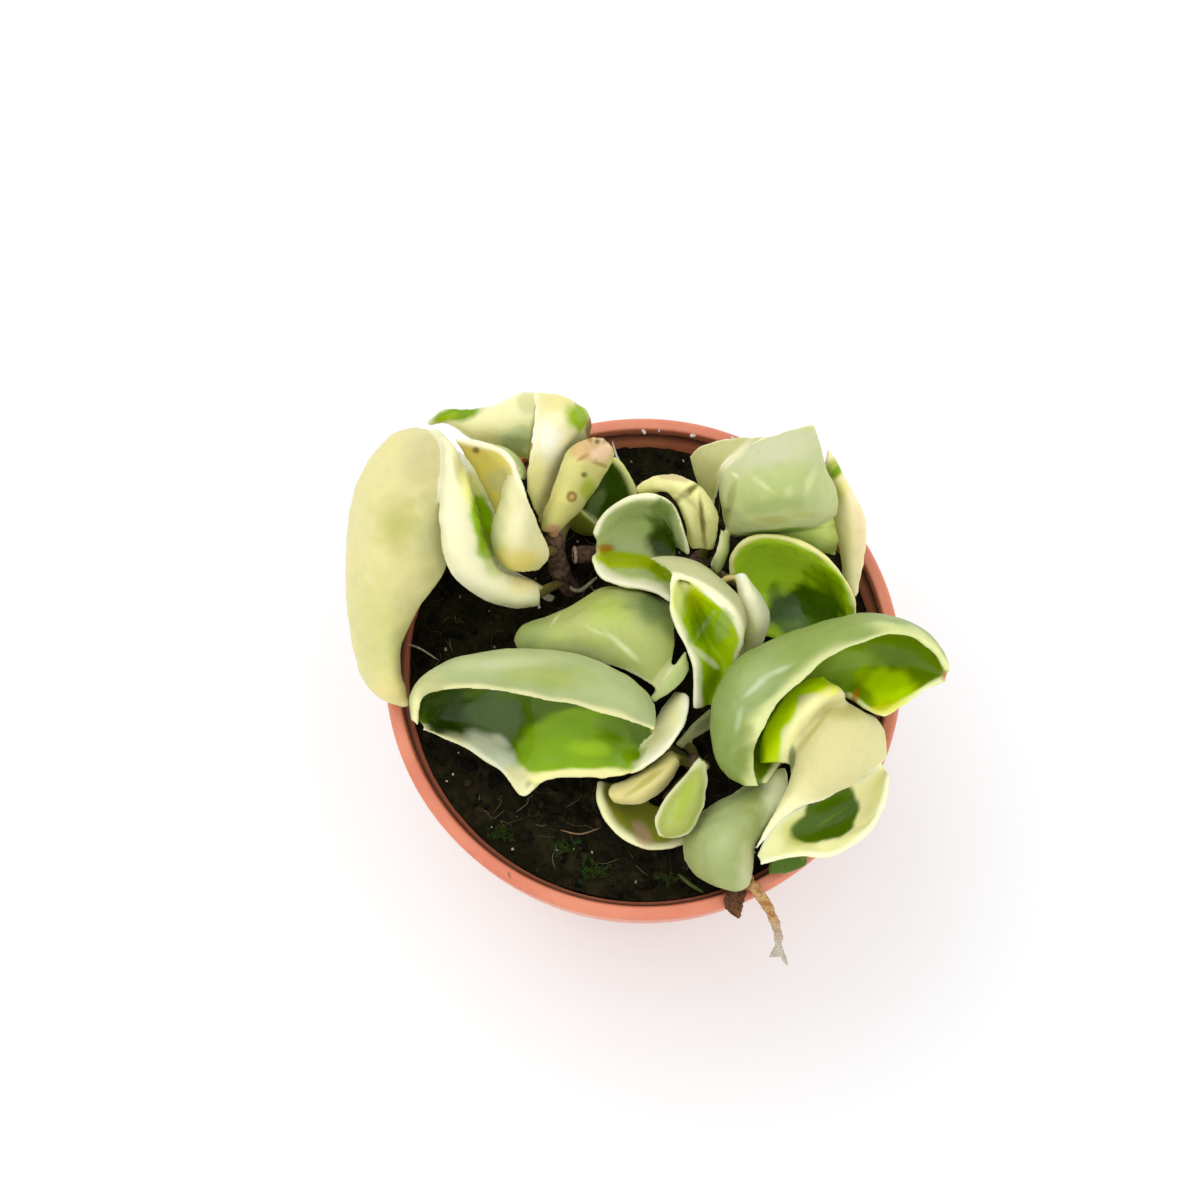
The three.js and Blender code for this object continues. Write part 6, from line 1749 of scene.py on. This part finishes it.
def drill(piece):
    """Cuts the drain holes through the pot's floor."""
    shells = []
    for k in range(DRAIN_HOLES):
        angle = 2 * math.pi * (k + 0.5) / DRAIN_HOLES
        centre = np.array([DRAIN_RING * math.cos(angle), DRAIN_RING * math.sin(angle), 0.0])
        line = centre + np.outer(np.linspace(-4, 6, 4), [0, 0, 1])
        shells.append(tube(line, np.full(4, DRAIN_RADIUS), sides=40))
    cutter = linked("cutter", make_mesh("cutter", *joined(shells)))
    cut = piece.modifiers.new("drain", "BOOLEAN")
    cut.operation = "DIFFERENCE"
    cut.solver = "EXACT"
    cut.object = cutter
    whole = piece.data
    drilled = evaluated_mesh(piece)
    piece.modifiers.remove(cut)
    piece.data = drilled
    drilled.name = piece.name
    drilled.materials.clear()
    drilled.materials.append(whole.materials[0])
    bpy.data.meshes.remove(whole)
    bpy.data.objects.remove(cutter)


# Soil
def soil_top(x, y):
    """The height of the solid's soil, without the roughness."""
    waves = np.sin(x * 0.31 + y * 0.17) + np.sin(y * 0.42 - x * 0.12)
    return POT_HEIGHT - SOIL_DEPTH + SOIL_RELIEF * waves


def soil_radius():
    return wall_radius(POT_HEIGHT - SOIL_DEPTH) - WALL / 2 - 0.2


def rough_soil_top(x, y):
    flat = np.stack([x, y, np.zeros_like(x)], axis=1)
    return soil_top(x, y) + relief(flat, (0.42, 6.5, 71), (0.3, 2.6, 72), (0.22, 1.1, 73))


def add_soil():
    """The soil as rings of points: the rough top, the foot of its side and the underside."""
    rings = 100
    turns = 290
    least_radius = 0.05
    limit = soil_radius()
    angle = 2 * np.pi * np.arange(turns) / turns
    points = []
    for ring in range(rings):
        radius = max(least_radius, limit * (ring / (rings - 1)))
        x, y = radius * np.cos(angle), radius * np.sin(angle)
        points.append(np.stack([x, y, rough_soil_top(x, y)], axis=1))
    foot = points[-1].copy()
    foot_radius = BASE_RADIUS - WALL - 1.4
    foot[:, :2] *= foot_radius / limit
    foot[:, 2] = FLOOR_THICKNESS + 0.2
    underside = foot * [0.001, 0.001, 1]
    points += [foot, underside]
    around = np.arange(turns)
    after = (around + 1) % turns
    faces = []
    for ring in range(rings + 1):
        a, b = ring * turns + around, ring * turns + after
        faces.append(np.stack([a, a + turns, b + turns, b], axis=1))
    mesh = make_mesh("soil_bed", np.concatenate(points), np.concatenate(faces))
    peat = plant_material("peat", (12, 12, 5), (28, 26, 11), (50, 44, 22), roughness=0.95,
                          grain_mm=0.9)
    piece = show("soil_bed", mesh, peat)
    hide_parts("soil")


def lump(rng):
    """A small irregular lump of unit size."""
    shape = bmesh.new()
    bmesh.ops.create_icosphere(shape, subdivisions=2, radius=1.0)
    points = np.array([v.co[:] for v in shape.verts])
    faces = np.array([[v.index for v in f.verts] for f in shape.faces])
    shape.free()
    points *= 1 + relief(points, (0.28, 2.2, int(rng.integers(1000))))[:, None]
    return points, faces


def turned(points, rng):
    axis = rng.normal(size=3)
    turn = Matrix.Rotation(rng.uniform(0, 2 * math.pi), 3, Vector(axis))
    return points @ np.array(turn)


def pick(rng, choices):
    return choices[int(rng.integers(len(choices)))]


def scatter(rng, count, margin):
    """Even random places on the soil's top."""
    radius = (soil_radius() - margin) * np.sqrt(rng.uniform(0, 1, count))
    angle = rng.uniform(0, 2 * math.pi, count)
    x, y = radius * np.cos(angle), radius * np.sin(angle)
    return np.stack([x, y, rough_soil_top(x, y)], axis=1)


def add_bits(name, shells, material):
    """Many small shells as one piece, coloured by their points."""
    points, faces, shades = joined(shells)
    mesh = make_mesh(name, points, faces)
    set_shades(mesh, shades)
    piece = show(name, mesh, material)


def add_crumbs():
    """Crumbs of peat and bark all over the soil."""
    rng = np.random.default_rng(5)
    templates = [lump(rng) for _ in range(10)]
    tones = [(16, 14, 9), (25, 22, 13), (36, 31, 19), (12, 11, 7), (54, 44, 28), (29, 25, 15)]
    smallest, range_of_sizes = 0.2, 1.1
    shells = []
    for place in scatter(rng, count=900, margin=0.9):
        points, faces = pick(rng, templates)
        size = rng.uniform(0.25, 1.0) ** 2 * range_of_sizes + smallest
        flat = np.array([1.0, rng.uniform(0.5, 1.0), rng.uniform(0.45, 0.9)])
        body = turned(points * flat * size, rng) + place + [0, 0, size * 0.1]
        shells.append((body, faces, toned(body, pick(rng, tones))))
    add_bits("soil_crumbs", shells, tinted_material("peat_crumbs", roughness=0.95, grain_mm=0.5))


def strand_shell(line, radius, colour, sides=6):
    """A fine fibre, pointed at both ends."""
    tip = 0.25
    share = np.linspace(0, 1, len(line))
    radii = radius * (tip + (1 - tip) * np.sin(math.pi * share) ** 0.5)
    points, faces = tube(line, radii, sides)
    return points, faces, toned(points, colour)


def short_fibres():
    """Fine root and peat fibres lying over the soil."""
    rng = np.random.default_rng(8)
    tones = [(92, 82, 58), (66, 58, 40), (126, 114, 86), (50, 44, 30)]
    bends = 4
    sway = 0.5
    farthest = soil_radius() - 0.6
    shells = []
    for place in scatter(rng, count=420, margin=3.0):
        length = rng.uniform(2.0, 7.0)
        heading = rng.uniform(0, 2 * math.pi)
        steps = np.linspace(-0.5, 0.5, bends) * length
        x = place[0] + steps * math.cos(heading) + rng.normal(size=bends) * sway
        y = place[1] + steps * math.sin(heading) + rng.normal(size=bends) * sway
        if np.hypot(x, y).max() >= farthest:
            continue
        z = rough_soil_top(x, y) + rng.uniform(0.1, 0.55, bends)
        line = smooth_line(np.stack([x, y, z], axis=1), np.linspace(0, 1, 9))
        shells.append(strand_shell(line, rng.uniform(0.05, 0.12), pick(rng, tones)))
    return shells


def long_fibres():
    """The longer pale fibres that the photo shows."""
    fibres = [
        ([[-6.3, 44.3, -3.4], [-5.3, 40.9, -2.6], [-3.1, 37.1, -3.0], [-1.5, 33.3, -4.2]],
         0.28, (232, 226, 208)),
        ([[-27.1, -40.5, -3.4], [-27.0, -42.3, 0.1], [-26.6, -43.5, 0.3]], 0.14, (150, 124, 92)),
        ([[6.9, -42.5, -3.6], [9.3, -44.5, -2.6], [12.1, -46.3, -2.8]], 0.4, (86, 98, 48)),
        ([[-48.1, 3.7, -4.4], [-44.9, 2.7, -4.2], [-41.1, 0.3, -4.8]], 0.2, (206, 196, 170)),
        ([[-16.7, -33.7, -5.2], [-12.7, -34.5, -4.8], [-8.7, -33.3, -5.3]], 0.16, (160, 132, 96)),
    ]
    return [strand_shell(seen_line(line, spacing=0.7), radius, colour, sides=8)
            for line, radius, colour in fibres]


def add_fibres():
    shells = short_fibres() + long_fibres()
    add_bits("soil_fibres", shells, tinted_material("fibre", roughness=0.85, grain_mm=0.4))


def add_specks():
    """White mineral specks and pale flakes in the peat."""
    rng = np.random.default_rng(13)
    templates = [lump(rng) for _ in range(6)]
    tones = [(225, 220, 208), (196, 186, 168), (168, 150, 122), (236, 232, 224)]
    shells = []
    for place in scatter(rng, count=120, margin=1.2):
        points, faces = pick(rng, templates)
        size = rng.uniform(0.14, 0.42)
        body = turned(points * [1, 0.8, 0.6] * size, rng) + place + [0, 0, size * 0.8]
        shells.append((body, faces, toned(body, pick(rng, tones))))
    add_bits("pale_specks", shells, tinted_material("mineral_speck", roughness=0.8, grain_mm=0.3))


def moss_sprig(rng, foot, lean):
    """One upright shoot with whorls of pointed leaves."""
    leaf_length = 0.55
    turn_between, turn_along = 2.1, 9
    line = np.stack([foot + lean * share for share in (0, 0.5, 1)])
    green = (int(rng.integers(40, 78)), int(rng.integers(56, 88)), int(rng.integers(16, 34)))
    shells = [strand_shell(smooth_line(line, np.linspace(0, 1, 5)), 0.1, green, sides=5)]
    for share in (0.3, 0.5, 0.7, 0.9):
        for turn in range(3):
            angle = turn_between * turn + turn_along * share
            tip = np.array([math.cos(angle), math.sin(angle), 0.5]) * leaf_length
            base = foot + lean * share
            leaf = np.stack([base, base + tip * 0.5, base + tip])
            shells.append(strand_shell(leaf, 0.11, green, sides=5))
    return shells


def add_moss():
    """Small patches of moss near the front of the pot, each given by its place and spread."""
    rng = np.random.default_rng(21)
    patches = [(-9.7, -42.3, 3.4), (-29.0, -34.5, 3.0), (-16.0, -37.5, 1.8), (4.5, -43.5, 2.0)]
    sprigs_per_mm = 9
    farthest = soil_radius() - 1.2
    shells = []
    for across, up, spread in patches:
        middle = seen([[across, up, -SOIL_DEPTH]])[0]
        for _ in range(int(sprigs_per_mm * spread)):
            x = np.array([middle[0] + rng.normal() * spread * 0.5])
            y = np.array([middle[1] + rng.normal() * spread * 0.22])
            if math.hypot(x[0], y[0]) > farthest:
                continue
            foot = np.array([x[0], y[0], rough_soil_top(x, y)[0] - 0.2])
            lean = rng.normal(size=3) * [0.9, 0.9, 0.1] + [0, 0, 1.1]
            shells += moss_sprig(rng, foot, lean)
    add_bits("moss_sprigs", shells, tinted_material("moss", roughness=0.8, grain_mm=0.3))


# Stems
def add_stems():
    bark = plant_material("stem_bark", (52, 38, 31), (98, 74, 60), (142, 118, 100), roughness=0.8,
                          grain_mm=0.8, streak=2.5)
    rounded_part, rounded_off = 0.03, 0.75
    knot_at, knot_length, knot_size = 0.72, 0.03, 0.12
    for seed, (node, (points, radii)) in enumerate(STEMS.items()):
        line = seen_line(points, STEM_STEP)
        share = np.linspace(0, 1, len(line))
        size = radii[0] + (radii[1] - radii[0]) * share
        past = np.clip((share - (1 - rounded_part)) / rounded_part, 0, 1)
        rounded = np.sqrt(1 - past**2 * rounded_off)
        knots = 1 + knot_size * np.exp(-((share - knot_at) / knot_length) ** 2)
        place, faces = tube(line, size * rounded * knots, sides=40)
        mesh = make_mesh(node + "_bark", place, faces)
        roughen(mesh, place, (0.14, 2.4, 40 + seed), (0.08, 0.9, 60 + seed))
        piece = show(node + "_bark", mesh, bark)
        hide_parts(node)
    add_stub_end()


def add_stub_end():
    """The pale callus around the cut end of the stub."""
    points, radii = STEMS["stem_stub"]
    line = seen_line(points, STEM_STEP)
    set_back = 0.25
    ring_share = 0.86
    ring_thickness = 0.36
    ahead = (line[-1] - line[-4]) / np.linalg.norm(line[-1] - line[-4])
    side = np.cross(ahead, [0, 0, 1])
    side /= np.linalg.norm(side)
    other = np.cross(ahead, side)
    angles = np.linspace(0, 2 * math.pi, 41)
    around = np.cos(angles)[:, None] * side + np.sin(angles)[:, None] * other
    ring = line[-1] - set_back * ahead + radii[1] * ring_share * around
    place, faces = tube(ring, np.full(len(ring), ring_thickness), sides=10)
    place += relief(place, (0.05, 0.8, 91))[:, None]
    shells = [(place, faces, toned(place, (205, 172, 156)))]
    add_bits("stub_callus", shells, tinted_material("callus", roughness=0.7, grain_mm=0.4))


# Dry bits
def add_dry_chip():
    left = [[16.5, -45.9, 0.9], [16.1, -47.7, 0.9], [16.3, -49.5, 0.6]]
    middle = [[18.6, -45.5, 1], [18, -48.1, 1], [18.1, -51, 0.4]]
    right = [[20.7, -45.9, 0.9], [20.1, -48.7, 0.8], [19.3, -51.7, 0.1]]
    thickness = 0.9
    points, faces, _ = leaf_sheet([left, middle, right], "outer", BROWN, BROWN,
                                  thickness=thickness, margin=0.8 * thickness)
    mesh = fused(points, faces, voxel=0.16)
    relax(mesh, rounds=3)
    roughen(mesh, read_points(mesh), (0.09, 1.6, 31), (0.05, 0.7, 32))
    material = plant_material("dry_bark", (60, 38, 26), (104, 70, 46), (140, 104, 72),
                              roughness=0.85, grain_mm=0.6, streak=3.0)
    piece = show("bark_chip", mesh, material)
    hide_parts("dry_chip")


def add_dried_strand():
    """The dried leaf stalk over the front of the rim, orange in places and split at its pale tip."""
    strand = [
        [18.3, -36.7, -4.2], [19.5, -40.5, -2.4], [20.9, -43.5, 1.4], [22.5, -45.7, 2],
        [24.1, -47.7, 1], [25.7, -50.7, -3], [26.7, -53.5, -8], [27.1, -56.3, -13],
        [27.1, -58.5, -17],
    ]
    left_end = [[27.1, -56.3, -13], [26.3, -58.1, -16.5], [25.3, -59.1, -19]]
    right_end = [[27.1, -56.7, -13.8], [28.1, -59.3, -18], [28.9, -60.9, -21]]
    shells = []
    for points, first, last in ((strand, 1.25, 0.65), (left_end, 0.65, 0.3), (right_end, 0.65, 0.3)):
        line = seen_line(points, spacing=0.3)
        shells.append(tube(line, np.linspace(first, last, len(line)), sides=20))
    mesh = fused(*joined(shells), voxel=0.2)
    relax(mesh, rounds=2)
    place = roughen(mesh, read_points(mesh), (0.16, 2.2, 33), (0.07, 0.8, 34))
    tip = smooth_step(-50, -58, picture(place)[:, 1])[:, None]
    orange = smooth_step(-0.2, 0.9, ripple(place, 3.5, 35))[:, None]
    shades = toned(place, (206, 164, 110))
    shades[:, :3] += (linear((176, 118, 62)) - shades[:, :3]) * orange * 0.8
    shades[:, :3] += (linear((214, 204, 188)) - shades[:, :3]) * tip
    set_shades(mesh, shades)
    piece = show("dry_strand", mesh, tinted_material("dry_fibre", roughness=0.8, grain_mm=0.6))
    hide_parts("dried_strand")


def add_rim_crumbs():
    """A few pale specks on the back of the rim, each given by its place and size."""
    rng = np.random.default_rng(44)
    specks = ((0.1, 45.9, 0.45), (3.1, 46.1, 0.35), (9.9, 45.1, 0.5), (17.7, 44.7, 0.35))
    shells = []
    for across, up, size in specks:
        points, faces = lump(rng)
        body = turned(points * [1.2, 0.8, 0.6] * size, rng) + seen([[across, up, 0.2]])[0]
        shells.append((body, faces, toned(body, (226, 218, 206))))
    add_bits("rim_crumbs", shells, tinted_material("rim_peat", roughness=0.95, grain_mm=0.5))


def add_curl():
    """A pale dried curl that lies behind the centre leaf, and a flake beside it."""
    curl = [[-15.1, 15.9, -4.6], [-14.3, 14.5, -4.0], [-12.7, 14.2, -3.8], [-11.1, 15.3, -4.0],
            [-9.3, 16.9, -4.6]]
    flake, faces = lump(np.random.default_rng(50))
    flake = flake * [1.3, 0.9, 0.3] + seen([[-19.1, 12.9, -4.8]])[0]
    shells = [
        strand_shell(seen_line(curl, spacing=0.4), 0.42, (176, 178, 140), sides=10),
        (flake, faces, toned(flake, (198, 190, 160))),
    ]
    add_bits("pale_curl", shells, tinted_material("dry_curl", roughness=0.7, grain_mm=0.5))


# Studio, in metres
def add_floor():
    half = 1.6
    corners = [(-half, -half, 0), (half, -half, 0), (half, half, 0), (-half, half, 0)]
    mesh = bpy.data.meshes.new("studio_floor")
    mesh.from_pydata(corners, [], [(0, 1, 2, 3)])
    material, tree, shader = new_material("floor_paint", {"Roughness": 0.9})
    cloud = noise(tree, object_place(tree), 300.0, 2.0)
    paint_tone = mixed(tree, ranged(tree, cloud, 0.3, 0.7), (238, 244, 245), (241, 246, 247))
    plug(tree, shader, {"Base Color": paint_tone})
    mesh.materials.append(material)
    linked("studio_floor", mesh)


def add_light(name, place, size, power):
    """A round soft light aimed at the plant."""
    light = bpy.data.lights.new(name, "AREA")
    light.shape = "DISK"
    light.size = size
    light.energy = power
    towards = Vector((0, 0, POT_HEIGHT * MM)) - Vector(place)
    lamp = linked(name, light)
    lamp.location = place
    lamp.rotation_euler = towards.to_track_quat("-Z", "Y").to_euler()


def add_camera():
    camera = bpy.data.cameras.new("photo_camera")
    camera.sensor_width = SENSOR
    camera.lens = LENS
    camera.clip_start = 10 * MM
    thing = linked("photo_camera", camera)
    turn = Matrix((PICTURE_RIGHT, PICTURE_UP, PICTURE_OUT)).transposed().to_4x4()
    thing.matrix_world = Matrix.Translation(Vector(EYE * MM)) @ turn
    bpy.context.scene.camera = thing


def add_studio():
    add_floor()
    add_light("key_light", (-0.35, 0.3, 0.95), size=0.7, power=2.0)
    add_light("fill_light", (0.6, -0.5, 0.8), size=0.9, power=0.8)
    world = bpy.data.worlds.new("studio")
    world.use_nodes = True
    background = world.node_tree.nodes["Background"].inputs
    background["Color"].default_value = (1.0, 1.0, 1.0, 1.0)
    background["Strength"].default_value = 1.08
    bpy.context.scene.world = world
    bpy.context.scene.view_settings.view_transform = "Standard"


add_camera()
add_studio()
add_pot()
add_soil()
add_crumbs()
add_fibres()
add_specks()
add_moss()
add_stems()
add_leaves()
add_dry_chip()
add_dried_strand()
add_rim_crumbs()
add_curl()
